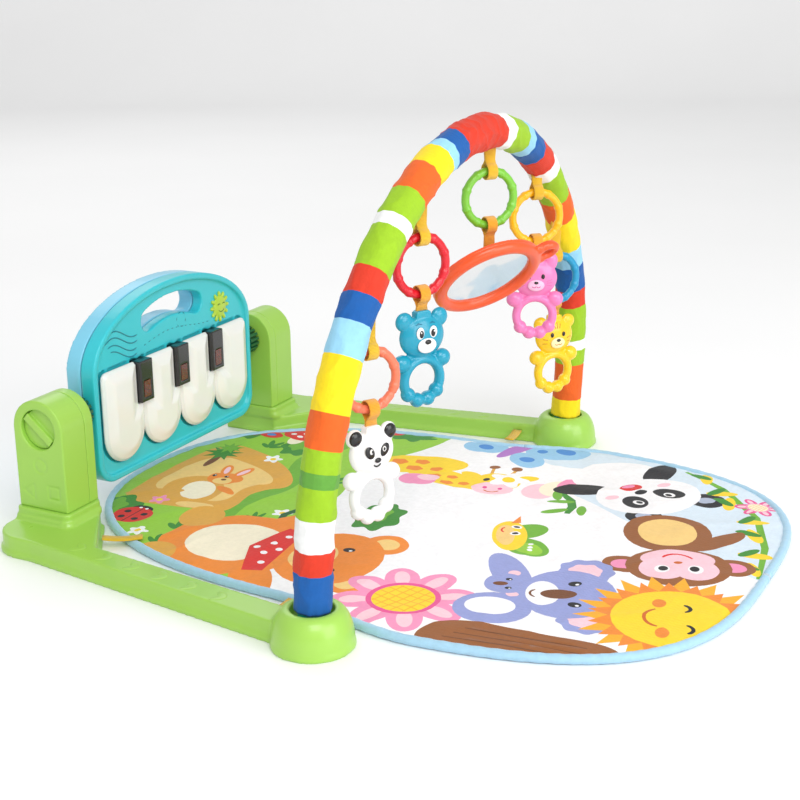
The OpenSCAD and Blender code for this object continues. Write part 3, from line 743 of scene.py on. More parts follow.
def build_sleeve():
    """The striped sleeve: panels sewn end to end, gathered at their seams and creased."""
    depth = sizes().sleeve_wrinkle / MM
    names = ["stripe_" + name for name, _ in STRIPES]
    finishes = sorted(set(names))
    total = sum(w for _, w in STRIPES)
    rows, marks, start = [], [], 0.0
    for (name, width), full in zip(STRIPES, names):
        width *= SLEEVE_RUN / total
        steps = max(4, round(width / 1.6))
        gathered = name == "red" and width > 60
        for k in range(steps):
            t = k / steps
            rows.append((start + t * width, t * width, width, gathered))
            marks.append(finishes.index(full))
        start += width
    rows.append((SLEEVE_RUN, 0, 1, False))
    points, lay = [], []
    for skin in (1, 0):                     # the outer face, then the lining
        for run, inside, width, gathered in rows:
            at, way = arch_point(run)
            side = Vector((0, 1, 0)) - way * way.y
            side.normalize()
            up = way.cross(side)
            edge = min(inside, width - inside)
            for j in range(SLEEVE_SIDES):
                a = TAU * j / SLEEVE_SIDES
                r = TUBE_R + 0.4
                if skin:
                    u, v = math.cos(a) * 2.2, math.sin(a) * 2.2
                    crease = wave(u * 0.5, v * 0.5, run / 21) * 1.3
                    fold = wave(u * 0.42 + 7, v * 0.42, run / 30 + 0.5 * math.sin(a))
                    crease += 1.9 * (1 - abs(fold)) ** 5 - 0.9
                    pleat = math.sin(a * 11 + 3 * wave(run / 30, 4)) * math.exp(-edge / 6) * 0.3
                    puff = -0.4 * math.exp(-(edge / 0.9) ** 2)
                    if gathered:
                        fold = run / 7.5 + 1.6 * wave(u * 0.6, v * 0.6, run / 18)
                        crease += 1.9 * (1 - abs(math.sin(fold * 1.5))) ** 1.4 - 0.5
                    r = SLEEVE_R - 0.2 + (crease * 0.6 + pleat) * depth / 1.5 + puff
                    r = max(r, TUBE_R + 1.4)
                points.append(at + side * r * math.cos(a) + up * r * math.sin(a))
                lay.append((run, r * a, 0))
    n, m = len(rows), SLEEVE_SIDES
    faces, face_marks = [], []
    for i in range(n - 1):
        for j in range(m):
            k = (j + 1) % m
            faces.append((i * m + j, (i + 1) * m + j, (i + 1) * m + k, i * m + k))
            face_marks.append(marks[i])
            a, b = n * m + i * m, n * m + (i + 1) * m
            faces.append((a + j, a + k, b + k, b + j))
            face_marks.append(marks[i])
    for i, mark in ((0, marks[0]), (n - 1, marks[-1])):
        for j in range(m):
            k = (j + 1) % m
            outer, inner = i * m, n * m + i * m
            faces.append((outer + j, outer + k, inner + k, inner + j) if i == 0 else
                         (outer + k, outer + j, inner + j, inner + k))
            face_marks.append(mark)
    piece = new_piece("striped_sleeve", points, faces, finishes, face_marks)
    store_lay(piece, lay)
    mend(piece)
    dress(piece, "frame", "sleeve_fabric", "arch_sleeve")


# ---------- Mat
def mat_half_width(y):
    """Half the width of the mat, which narrows towards the piano."""
    wide = MAT_HIGH.x - MAT_LOW.x
    narrow = wide - MAT_NARROWS
    return (wide + (narrow - wide) * smooth_step((y + 110) / 150)) / 2


def mat_power(y):
    """How square the outline's corners are: less at the piano's end."""
    return 0.625 if y < 0 else 0.83


def mat_edge(a, inset):
    """A point of the mat's outline, pulled in from the edge."""
    power = mat_power(math.sin(a))
    reach = -MAT_LOW.y if math.sin(a) < 0 else MAT_HIGH.y
    y = math.copysign(abs(math.sin(a)) ** power, math.sin(a)) * reach
    x = math.copysign(abs(math.cos(a)) ** power, math.cos(a)) * (mat_half_width(y) - inset)
    half_length = 340
    return Vector((x, y * (1 - inset / half_length)))


def edge_depth(x, y):
    """Roughly how far a point lies inside the mat's edge."""
    reach = -MAT_LOW.y if y < 0 else MAT_HIGH.y
    power = mat_power(y)
    part = (abs(x) / mat_half_width(y)) ** (2 / power) + (abs(y) / reach) ** (2 / power)
    return (1 - part ** (power / 2)) * math.hypot(x, y) / max(part ** (power / 2), 0.05)


def mat_outline(inset, n):
    """Points of the outline, evenly spaced."""
    fine = [mat_edge(TAU * i / OUTLINE_STEPS, inset) for i in range(OUTLINE_STEPS)]
    runs = [0.0]
    for i in range(OUTLINE_STEPS):
        runs.append(runs[-1] + (fine[(i + 1) % OUTLINE_STEPS] - fine[i]).length)
    outline, at = [], 0
    for k in range(n):
        target = runs[-1] * k / n
        while runs[at + 1] < target:
            at += 1
        outline.append(fine[at % OUTLINE_STEPS])
    return outline


def mat_height(x, y):
    """Height of the mat's top: soft waves all over, puckers where the binding draws it in."""
    depth = sizes().mat_wrinkle / MM
    inside = max(edge_depth(x, y), 0)
    wide = wave(x / 95, y / 95, 3) + 0.5 * wave(x / 42, y / 42, 9)
    crease = (1 - abs(wave(x / 70 + 5, y / 48, 1))) ** 6 - 0.12
    turn = math.atan2(y, x)
    pucker = math.sin(turn * 61 + 5 * wave(x / 60, y / 60)) * math.exp(-inside / 13) * 0.45
    fine = 0.16 * wave(x / 12, y / 12, 4)
    loft = smooth_step(inside / 16)
    return MAT_TOP - 1.0 + depth * (0.45 * wide * loft + 0.7 * crease * loft) + pucker + fine \
        + 0.9 * loft


class Printed:
    """Coloured shapes laid on the mat one over another, in millimetres."""

    def __init__(self):
        self.outlines, self.inks = [], []
        self.at(0, 0)

    def at(self, x, y, up=(0.0, 1.0), size=1.0):
        """Sets where the next shapes are drawn, and which way is up for them."""
        self.origin = Vector((x, y))
        self.up = Vector(up).normalized() * size
        self.right = Vector((self.up.y, -self.up.x))

    def shape(self, points, ink):
        outline = [self.origin + self.right * x + self.up * y for x, y in points]
        area = sum(a.x * b.y - b.x * a.y for a, b in zip(outline, outline[1:] + outline[:1]))
        self.outlines.append(outline if area > 0 else outline[::-1])
        self.inks.append(ink)

    def rounded(self, points, ink):
        """A drawn shape whose corners are cut three times, so that it runs in soft curves."""
        points = [Vector(q) for q in points]
        for _ in range(3):
            ahead = points[1:] + points[:1]
            points = [q for a, b in zip(points, ahead) for q in (a.lerp(b, 0.25), a.lerp(b, 0.75))]
        self.shape([tuple(q) for q in points], ink)

    def blob(self, x, y, rx, ry, ink, turn=0.0, lobes=0, depth=0.0):
        """An oval, or a lobed oval such as a bush or a flower."""
        n = max(28, lobes * 8)
        points = []
        for i in range(n):
            a = TAU * i / n
            swell = 1 + depth * math.cos(lobes * a) if lobes else 1
            px, py = rx * swell * math.cos(a), ry * swell * math.sin(a)
            points.append((x + px * math.cos(turn) - py * math.sin(turn),
                           y + px * math.sin(turn) + py * math.cos(turn)))
        self.shape(points, ink)

    def star(self, x, y, inner, outer, count, ink, turn=0.0):
        points = []
        for i in range(count * 2):
            a = turn + TAU * i / count / 2
            r = outer if i % 2 else inner
            points.append((x + r * math.cos(a), y + r * math.sin(a)))
        self.shape(points, ink)

    def line(self, points, width, ink):
        """A drawn line with rounded ends, as wide all along."""
        points = [Vector(p) for p in points]
        left, right = [], []
        for i, p in enumerate(points):
            run = points[min(i + 1, len(points) - 1)] - points[max(i - 1, 0)]
            side = Vector((-run.y, run.x)).normalized() * width / 2
            if i in (0, len(points) - 1):
                side *= 0.6
            left.append(p + side)
            right.append(p - side)
        self.shape([tuple(p) for p in left + right[::-1]], ink)

    def arc(self, x, y, radius, start, end, width, ink):
        steps = 8
        angles = [math.radians(start + (end - start) * i / steps) for i in range(steps + 1)]
        self.line([(x + radius * math.cos(a), y + radius * math.sin(a)) for a in angles],
                  width, ink)


INKS = {"white": srgb(248, 248, 250), "cream": srgb(250, 240, 214), "lime": srgb(150, 205, 60),
        "grass": srgb(112, 178, 52), "leaf": srgb(60, 140, 48), "pine": srgb(28, 96, 52),
        "ochre": srgb(226, 168, 70), "sand": srgb(244, 206, 128), "orange": srgb(240, 140, 48),
        "rust": srgb(206, 104, 36), "brown": srgb(150, 92, 48), "bark": srgb(118, 70, 38),
        "red": srgb(222, 44, 40), "pink": srgb(244, 150, 190), "rose": srgb(232, 86, 150),
        "blush": srgb(250, 204, 216), "yellow": srgb(250, 214, 40), "gold": srgb(248, 176, 36),
        "sky": srgb(150, 200, 235), "blue": srgb(72, 140, 214), "mist": srgb(216, 232, 244),
        "lilac": srgb(150, 160, 214), "violet": srgb(176, 120, 200), "grey": srgb(176, 188, 210),
        "black": srgb(32, 32, 38)}


def draw_eyes(p, spread, y, size, shut=False):
    for s in (-1, 1):
        if shut:
            p.arc(s * spread, y, size * 1.6, 20, 160, size * 0.7, "black")
        else:
            p.blob(s * spread, y, size, size * 1.2, "black")
            p.blob(s * spread + size * 0.3, y + size * 0.4, size * 0.35, size * 0.35, "white")


def draw_bear(p):
    """A big sitting bear with a white tummy and a spotted scarf."""
    p.at(-140, 60, (0.1, -1), 1.0)
    p.blob(0, -70, 70, 74, "orange", lobes=9, depth=0.02)
    p.blob(66, -20, 44, 20, "orange", turn=0.5)
    p.blob(-62, -40, 40, 20, "orange", turn=-0.6)
    p.blob(-4, -72, 44, 48, "cream")
    p.blob(-50, -132, 26, 22, "ochre")
    p.blob(44, -134, 26, 22, "ochre")
    for s in (-1, 1):
        p.blob(s * 46, 66, 22, 22, "orange")
        p.blob(s * 47, 67, 12, 12, "sand")
    p.blob(0, 28, 60, 50, "orange")
    p.blob(0, 12, 30, 22, "sand")
    p.blob(0, 22, 8, 6, "bark")
    p.arc(0, 12, 9, 200, 340, 2.4, "bark")
    draw_eyes(p, 24, 38, 5)
    p.shape([(-46, -18), (46, -18), (52, -36), (0, -54), (-52, -36)], "red")
    for x, y in ((-32, -28), (-12, -34), (10, -34), (30, -27), (-2, -24), (0, -46)):
        p.blob(x, y, 3.4, 3.4, "white")


def draw_kangaroo(p):
    """A hopping animal with a pale tummy, beside the hill."""
    p.at(-28, 240, (1, 0.1), 0.9)
    p.blob(-10, -20, 36, 46, "ochre", turn=0.3)
    p.blob(-4, -18, 20, 30, "cream", turn=0.3)
    p.blob(-48, -40, 34, 9, "ochre", turn=0.5)
    p.blob(16, -62, 24, 9, "sand")
    p.blob(8, 26, 22, 18, "orange")
    for s in (-1, 1):
        p.blob(8 + s * 11, 52, 7, 18, "orange", turn=-0.25 * s)
        p.blob(8 + s * 11, 52, 3.4, 12, "blush", turn=-0.25 * s)
    p.blob(8, 18, 12, 9, "sand")
    p.blob(8, 22, 3.4, 2.6, "bark")
    draw_eyes(p, 8, 30, 2.6)
    p.blob(26, -8, 18, 6, "orange", turn=-0.6)


def draw_giraffe(p):
    p.at(100, 0, (0.98, 0.2), 1.0)
    p.blob(-70, 36, 60, 26, "yellow", turn=0.2)
    p.blob(-26, 6, 56, 20, "yellow", turn=-0.4)
    for x, y, r in ((-86, 40, 9), (-62, 46, 8), (-66, 26, 9), (-42, 28, 7), (-40, 8, 8),
                    (-20, 10, 6), (-22, -8, 7), (-4, -6, 6)):
        p.blob(x, y, r, r * 0.8, "orange", lobes=5, depth=0.08)
    p.blob(-54, -6, 20, 16, "pink")
    p.blob(-44, 2, 12, 9, "blush")
    for s in (-1, 1):
        p.line([(28 + s * 9, 20), (30 + s * 12, 44)], 6, "ochre")
        p.blob(30 + s * 12, 48, 6, 6, "brown")
        p.blob(28 + s * 30, 22, 13, 7, "yellow", turn=s * 0.5)
    p.blob(28, 6, 26, 24, "yellow")
    p.blob(28, -14, 22, 16, "blush")
    for s in (-1, 1):
        p.blob(28 + s * 8, -12, 2.4, 3.2, "rose")
    draw_eyes(p, 0, 0, 0.1)                 # specks on the neck
    for s in (-1, 1):
        p.blob(28 + s * 11, 10, 3.6, 4.6, "black")
    p.arc(28, -14, 9, 210, 330, 2.0, "rust")


def draw_panda(p):
    p.at(142, -182, (-0.53, -0.85), 1.0)
    p.blob(-8, -62, 50, 40, "white")
    p.blob(-52, -44, 30, 15, "black", turn=0.5)
    p.blob(46, -50, 30, 15, "black", turn=-0.6)
    for s in (-1, 1):
        p.blob(s * 40, 42, 19, 19, "black")
        p.blob(s * 40, 42, 9, 9, "grey")
    p.blob(0, 0, 56, 48, "white")
    for s in (-1, 1):
        p.blob(s * 22, 6, 13, 17, "black", turn=-0.5 * s)
        p.blob(s * 20, 9, 5.5, 6.5, "white")
        p.blob(s * 19, 9, 3, 4, "black")
        p.blob(s * 34, -16, 8, 5, "blush")
    p.blob(0, -12, 7, 5, "black")
    p.blob(0, -28, 13, 9, "red")
    p.blob(0, -32, 8, 4, "pink")


def draw_monkey(p):
    p.at(-14, -262, (-0.94, -0.35), 1.0)
    p.blob(6, -78, 42, 46, "brown")
    p.blob(6, -80, 28, 34, "sand")
    p.blob(-40, -60, 34, 12, "brown", turn=0.7)
    for s in (-1, 1):
        p.blob(s * 50, 0, 19, 19, "brown")
        p.blob(s * 50, 0, 11, 11, "pink")
    p.blob(0, 2, 48, 42, "brown")
    for s in (-1, 1):
        p.blob(s * 15, 8, 21, 22, "blush")
    p.blob(0, -14, 34, 23, "blush")
    for s in (-1, 1):
        p.blob(s * 15, 8, 7, 8.5, "white")
        p.blob(s * 14, 7, 4.4, 5.4, "black")
    p.blob(0, -6, 4, 3, "rust")
    p.arc(0, -10, 15, 205, 335, 3.0, "red")


def draw_koala(p):
    p.at(-114, -194, (0.35, -0.94), 1.0)
    p.blob(34, -64, 30, 34, "lilac")
    p.blob(30, -66, 17, 22, "white")
    p.blob(-40, -52, 46, 17, "lilac", turn=0.3)
    for s in (-1, 1):
        p.blob(s * 50, 16, 26, 25, "lilac", lobes=9, depth=0.05)
        p.blob(s * 50, 15, 15, 15, "blush", lobes=7, depth=0.05)
    p.blob(0, 0, 50, 43, "lilac")
    p.blob(0, -22, 26, 15, "white")
    p.blob(0, -8, 10, 16, "bark")
    draw_eyes(p, 22, 6, 5)
    p.arc(0, -24, 9, 210, 330, 2.2, "bark")
    p.at(-117, -136, (0.35, -0.94), 0.52)
    for s in (-1, 1):
        p.blob(s * 44, 14, 20, 20, "lilac")
        p.blob(s * 44, 14, 11, 11, "blush")
    p.blob(0, 0, 42, 36, "lilac")
    p.blob(0, -8, 8, 13, "bark")
    draw_eyes(p, 18, 6, 5)


def draw_bird(p):
    p.at(-14, -98, (0.3, -0.95), 1.0)
    p.blob(26, 16, 18, 26, "grass", turn=-0.8)
    p.blob(30, 18, 11, 17, "lime", turn=-0.8)
    p.blob(-12, 14, 16, 22, "grass", turn=0.7)
    p.blob(0, -2, 36, 17, "yellow", turn=0.1)
    p.blob(0, -6, 24, 9, "sand", turn=0.1)
    p.shape([(-30, -4), (-50, 4), (-32, 6)], "orange")
    for x in (20, 28, 34):
        p.blob(x, 20, 2.6, 2.6, "white")
    for x in (-20, -4):
        p.blob(x, 3, 4.6, 5.2, "white")
        p.blob(x, 3, 2.6, 3.2, "black")
    p.arc(-12, -5, 6, 210, 330, 1.8, "red")


def draw_flower(p, x, y, size, petal, ring, middle, petals=8):
    p.at(x, y, (0.3, 1), size)
    for i in range(petals):
        a = TAU * i / petals
        p.blob(38 * math.cos(a), 38 * math.sin(a), 26, 16, petal, turn=a)
        p.blob(42 * math.cos(a), 42 * math.sin(a), 14, 7, "blush", turn=a)
    p.blob(0, 0, 33, 33, ring)
    p.blob(0, 0, 28, 28, middle)
    for i in range(-2, 3):
        reach = math.sqrt(27 ** 2 - (i * 9) ** 2)
        p.line([(i * 9, -reach), (i * 9, reach)], 2.2, "gold")
        p.line([(-reach, i * 9), (reach, i * 9)], 2.2, "gold")


def draw_sun(p):
    p.at(-120, -290, (0.35, -0.94), 1.0)
    p.star(0, 0, 58, 84, 18, "gold")
    p.star(0, 0, 54, 72, 18, "orange", 0.17)
    p.blob(0, 0, 54, 52, "yellow")
    for s in (-1, 1):
        p.blob(s * 28, -10, 9, 6, "orange")
    draw_eyes(p, 19, 8, 5, shut=True)
    p.arc(0, -6, 18, 205, 335, 3.2, "rust")


def draw_butterfly(p, x, y, size, wing, spot, body, up):
    p.at(x, y, up, size)
    for s in (-1, 1):
        p.blob(s * 26, 14, 24, 17, wing, turn=s * 0.6)
        p.blob(s * 20, -14, 17, 12, wing, turn=-s * 0.5)
        p.blob(s * 30, 18, 8, 6, spot)
        p.blob(s * 16, 8, 4, 4, spot)
        p.blob(s * 20, -14, 6, 5, spot)
        p.arc(s * 8, 30, 9, 90 - s * 40, 90 + s * 60, 1.8, body)
    p.blob(0, 0, 6, 24, body)
    p.blob(0, 24, 7, 7, body)


def draw_sprout(p, x, y, size):
    p.at(x, y, (1, 0), size)
    for turn, reach in ((0.9, 11), (0.3, 15), (-0.3, 15), (-0.9, 11)):
        p.blob(reach * math.sin(turn) * 0.8, reach * math.cos(turn), 3.2, reach * 0.75,
               "leaf", turn=-turn)


def draw_tiny_flower(p, x, y, ink, size=1.0):
    p.at(x, y, (0, 1), size)
    p.blob(0, 0, 9, 9, ink, lobes=5, depth=0.25)
    p.blob(0, 0, 3.4, 3.4, "yellow")


def draw_toadstool(p, x, y, size):
    p.at(x, y, (1, 0), size)
    p.blob(0, -12, 9, 15, "cream")
    p.blob(0, 6, 26, 17, "red")
    for px, py in ((-14, 6), (0, 12), (13, 6), (-2, 0)):
        p.blob(px, py, 3.8, 3.2, "white")


def draw_ladybird(p):
    p.at(-129, 262, (1, 0), 0.9)
    p.blob(0, 18, 13, 10, "black")
    p.blob(0, 0, 23, 22, "red")
    p.line([(0, -21), (0, 20)], 2, "black")
    for s in (-1, 1):
        p.blob(s * 11, 6, 4, 4, "black")
        p.blob(s * 9, -9, 4, 4, "black")
        p.blob(s * 4, 21, 2, 2, "white")


def draw_meadow(p):
    """The grounds of the print: a lime meadow at the piano's end, mist at the open end."""
    p.at(0, 0)
    p.rounded([(-300, 76), (-214, 52), (-150, 96), (-70, 112), (0, 96), (70, 122), (140, 96),
               (210, 70), (300, 86), (300, 400), (-300, 400)], "lime")
    p.rounded([(-300, 150), (-240, 140), (-190, 168), (-120, 160), (-60, 176), (10, 150),
               (90, 176), (170, 158), (300, 176), (300, 400), (-300, 400)], "grass")
    p.rounded([(-300, 176), (-236, 166), (-186, 194), (-118, 186), (-56, 202), (14, 178),
               (90, 202), (172, 184), (300, 202), (300, 400), (-300, 400)], "lime")
    p.rounded([(300, 20), (214, -20), (176, -60), (196, -110), (120, -96), (98, -140),
               (60, -190), (70, -214), (24, -240), (-6, -316), (-30, -380), (300, -400)], "mist")
    p.rounded([(-104, 302), (-39, 308), (103, 304), (70, 210), (9, 152), (-20, 189),
               (-90, 176), (-92, 240)], "ochre")
    p.rounded([(-60, 292), (-20, 296), (60, 290), (40, 214), (6, 176), (-14, 204), (-64, 196),
               (-70, 240)], "sand")


def draw_print():
    p = Printed()
    draw_meadow(p)
    for x, y, ink, size in ((-128, 292, "leaf", 1.5), (150, 292, "leaf", 1.4),
                            (227, 122, "leaf", 1.5), (-190, 160, "pine", 1.0),
                            (120, 214, "leaf", 1.2), (-29, 38, "leaf", 1.3)):
        p.at(x, y, (0, 1), size)
        p.blob(0, 0, 26, 18, ink, lobes=7, depth=0.12)
        p.blob(4, 3, 16, 10, "grass", lobes=6, depth=0.12)
    p.at(58, 282, (1, 0.1), 0.9)
    p.blob(0, -22, 5, 22, "bark")
    p.star(0, 6, 12, 26, 9, "leaf")
    p.star(0, 24, 9, 19, 9, "grass")
    draw_kangaroo(p)
    draw_ladybird(p)
    draw_butterfly(p, 146, 286, 0.9, "red", "blue", "bark", (0.9, 0.2))
    draw_toadstool(p, 146, 231, 0.95)
    draw_toadstool(p, 204, 152, 0.85)
    for x, y, size in ((-143, 202, 1.1), (97, 246, 1.0), (-180, 200, 0.9), (30, 128, 1.0),
                       (186, 214, 1.0), (-90, 148, 0.8), (196, 100, 0.9)):
        draw_sprout(p, x, y, size)
    for x, y, ink in ((-161, 232, "white"), (69, 221, "white"), (-84, 262, "pink"),
                      (110, 180, "white"), (172, 190, "pink"), (-196, 228, "yellow"),
                      (-60, 130, "white")):
        draw_tiny_flower(p, x, y, ink)
    p.at(0, 0)
    p.line([(-90, 118), (-62, 126), (-40, 118), (-20, 108)], 8, "pine")
    draw_bear(p)
    draw_flower(p, -184, -69, 1.0, "pink", "rose", "yellow")
    draw_butterfly(p, 216, -8, 1.5, "sky", "blue", "violet", (0.9, -0.3))
    draw_giraffe(p)
    p.at(136, -52, (0.4, 1), 1.0)
    for i, ink in enumerate(("blush", "cream", "pink")):
        p.blob(i * 18 - 18, -34 - i * 8, 22, 18, ink, turn=0.4)
    draw_tiny_flower(p, 122, -36, "white", 2.0)
    p.at(0, 0)
    p.line([(116, -96), (96, -116), (78, -124), (58, -126)], 9, "leaf")
    for x, y, turn in ((104, -98, 0.4), (88, -108, 2.0), (72, -136, 0.3), (60, -112, 2.2)):
        p.blob(x, y, 14, 5, "grass", turn=turn)
    draw_panda(p)
    p.at(0, 0)
    p.line([(226, -196), (190, -246), (130, -296), (60, -322), (-10, -334)], 7, "grass")
    for x, y, turn in ((212, -222, 0.3), (178, -248, 1.8), (154, -262, 0.2), (116, -296, 1.9),
                       (84, -306, 0.6), (40, -318, 1.7), (8, -324, 0.5)):
        p.blob(x, y, 16, 6.5, "yellow", turn=turn)
        p.blob(x + 4, y + 7, 13, 5, "leaf", turn=turn + 0.9)
    draw_flower(p, 158, -290, 0.36, "rose", "pink", "cream", 6)
    draw_monkey(p)
    draw_bird(p)
    p.at(0, 0)
    p.rounded([(-236, -104), (-206, -118), (-196, -150), (-196, -226), (-190, -262),
               (-214, -288), (-262, -260), (-262, -120)], "brown")
    for k in range(4):
        p.line([(-244 + 10 * k, -124 - 6 * k), (-236 + 9 * k, -180), (-232 + 9 * k, -246)], 2.2,
               "bark")
    draw_koala(p)
    draw_sun(p)
    return p


def scatter_points(edge_gap):
    """Loose points all over the mat, which let its top follow the waves."""
    grid = sizes().print_grid / MM
    draw = random.Random(7)
    points, y = [], MAT_LOW.y
    while y < MAT_HIGH.y:
        x = -mat_half_width(y)
        while x < mat_half_width(y):
            q = Vector((x + draw.uniform(-1, 1), y + draw.uniform(-1, 1)))
            if edge_depth(q.x, q.y) > edge_gap:
                points.append(q)
            x += grid
        y += grid
    return points


def close_under(piece):
    """Gives an open sheet a wall all round and a flat underside."""
    body = bmesh.new()
    body.from_mesh(piece.data)
    loose = [v for v in body.verts if not v.link_faces]
    bmesh.ops.delete(body, geom=loose, context="VERTS")
    rim = [e for e in body.edges if len(e.link_faces) == 1]
    walls = bmesh.ops.extrude_edge_only(body, edges=rim)["geom"]
    for item in walls:
        if isinstance(item, bmesh.types.BMVert):
            item.co.z = MAT_UNDER * MM
    low = [e for e in body.edges if len(e.link_faces) == 1]
    under = bmesh.ops.triangle_fill(body, edges=low, use_beauty=True)["geom"]
    for item in walls + under:
        if isinstance(item, bmesh.types.BMFace):
            item.material_index = 1
            item.smooth = True
    bmesh.ops.recalc_face_normals(body, faces=body.faces)
    body.to_mesh(piece.data)
    body.free()


def build_mat():
    """The padded mat: one mesh whose top carries the print, with a flat underside."""
    p = draw_print()
    verts, faces = [], []
    for outline in [mat_outline(BINDING_W - 0.4, 240)] + p.outlines:
        faces.append(list(range(len(verts), len(verts) + len(outline))))
        verts += [Vector((q[0], q[1])) for q in outline]
    verts += scatter_points(BINDING_W + 3)
    # Each face of the result knows the outlines that it lies in, and the last one colours it.
    made = geometry.delaunay_2d_cdt(verts, [], faces, 0, 0.02)
    flat, tris, owners = made[0], made[2], made[5]
    points = [(q.x, q.y, mat_height(q.x, q.y)) for q in flat]
    kept, inks = [], []
    for tri, owner in zip(tris, owners):
        if 0 in owner:
            kept.append(tuple(tri))
            top = max(owner)
            inks.append("white" if top == 0 else p.inks[top - 1])
    piece = new_piece("printed_mat", points, kept, ["mat_print", "mat_under"])
    colour = piece.data.attributes.new("print", "FLOAT_COLOR", "CORNER")
    values = []
    for polygon, ink in zip(piece.data.polygons, inks):
        values += [*INKS[ink], 1.0] * polygon.loop_total
    colour.data.foreach_set("color", values)
    close_under(piece)
    dress(piece, "frame", "mat_fabric", "mat_pad")
    build_binding()
    build_mat_loops()


def build_binding():
    """Bias binding folded over the edge of the mat, puckered by its stitching."""
    n, section = 720, 14
    outline = mat_outline(0, n)
    full = sum((outline[i] - outline[i - 1]).length for i in range(n))
    points, lay, run = [], [], 0.0
    for i, at in enumerate(outline):
        ahead, behind = outline[(i + 1) % n], outline[i - 1]
        way = (ahead - behind).normalized()
        inward = Vector((-way.y, way.x))
        if i:
            run += (at - outline[i - 1]).length
        turn = TAU * i / n
        drift = wave(3 * math.cos(turn), 3 * math.sin(turn))
        pucker = 0.35 * math.sin(136 * turn + 9 * drift)
        pucker += 0.4 * wave(34 * math.cos(turn), 34 * math.sin(turn), 2)
        for j in range(section):
            a = TAU * j / section
            half = 4.3 + 0.3 * pucker
            across = 4.0 - half * math.cos(a)
            high = 4.5 + (4.2 + 0.5 * pucker) * math.sin(a)
            points.append((at.x + inward.x * across, at.y + inward.y * across,
                           max(high, MAT_UNDER)))
            lay.append((min(run, full - run), 16 * j / section, 0))
    faces = tube_faces(n, section, closed=True, other_way=True)
    piece = new_piece("bias_binding", points, faces, ["binding_fabric"])
    store_lay(piece, lay)
    mend(piece)
    dress(piece, "frame", "binding_fabric", "mat_binding")


def build_mat_loops():
    """Yellow webbing loops that tie the mat to the bases."""
    steps, index = 15, 0
    for sign in (-1, 1):
        for start, end in (((199, 245), (177, 214)), ((263, 14), (234, 12))):
            index += 1
            path = []
            for i in range(steps):
                t = i / (steps - 1)
                x = start[0] + (end[0] - start[0]) * t
                y = start[1] + (end[1] - start[1]) * t
                path.append((sign * x, y, 11.5 - 1.6 * math.sin(math.pi * t) - 1.4 * t))
            run = Vector((sign * (end[0] - start[0]), end[1] - start[1], 0)).normalized()
            piece = ribbon(f"mat_loop_{index}", path, [10.5] * steps, 1.8,
                           Vector((-run.y, run.x, 0)), "webbing")
            dress(piece, "frame", "webbing")
    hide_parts("mat_loops")


# ---------- Rings, tabs and straps
def ring_swell(a):
    """How far a ring's rod swells at an angle: a few beads, and the nick where it opens."""
    def off(place):
        return ((a - math.radians(place) + math.pi) % TAU - math.pi) * RING_R
    beads = [90 + s * b for b in (30, 70, 110, 150) for s in (-1, 1)]
    swell = 0.0
    for bead in beads:
        swell += 0.75 * math.exp(-(off(bead) / 1.9) ** 2)
    return swell - 0.9 * math.exp(-(off(215) / 0.7) ** 2)


def build_rings():
    n, m = 168, 18
    inks = ("salmon_ring", "red_ring", "green_ring", "yellow_ring", "blue_ring")
    slots = ("coral_plastic", "red_plastic", "green_plastic", "yellow_plastic", "blue_plastic")
    for i, (ink, slot) in enumerate(zip(inks, slots)):
        top = joint_place(f"ring_{i + 1}_swing")
        turn = joint_turn(f"ring_{i + 1}_swing")
        plane = Matrix.Translation(top - Vector((0, 0, RING_R))) @ Matrix.Rotation(
            turn + math.pi / 2, 4, "Z") @ Matrix.Rotation(math.pi / 2, 4, "X")
        points = []
        for k in range(n):
            a = TAU * k / n
            rod = RING_TUBE + ring_swell(a)
            for j in range(m):
                b = TAU * j / m
                r = RING_R + rod * math.cos(b)
                points.append(plane @ Vector((r * math.cos(a), r * math.sin(a),
                                              rod * math.sin(b))))
        piece = new_piece(f"link_ring_{i + 1}", points, tube_faces(n, m, closed=True), [ink])
        dress(piece, f"ring_{i + 1}_body", slot, f"ring_{i + 1}")


def web_path(neck):
    """A webbing loop round a ring's rod, seen along the rod: up one side and down the other."""
    path = [(-0.75, neck), (-0.75, WEB_R + 3)]
    path += [(WEB_R * math.cos(a), WEB_R * math.sin(a))
             for a in map(math.radians, range(112, 429, 12))]
    return path + [(0.75, WEB_R + 3), (0.75, neck)]


def pinched(path, ring, wide):
    """Widths of the webbing, gathered where it passes round the ring."""
    return [wide * (0.8 + 0.2 * smooth_step(((p - ring).length - 8) / 12)) for p in path]


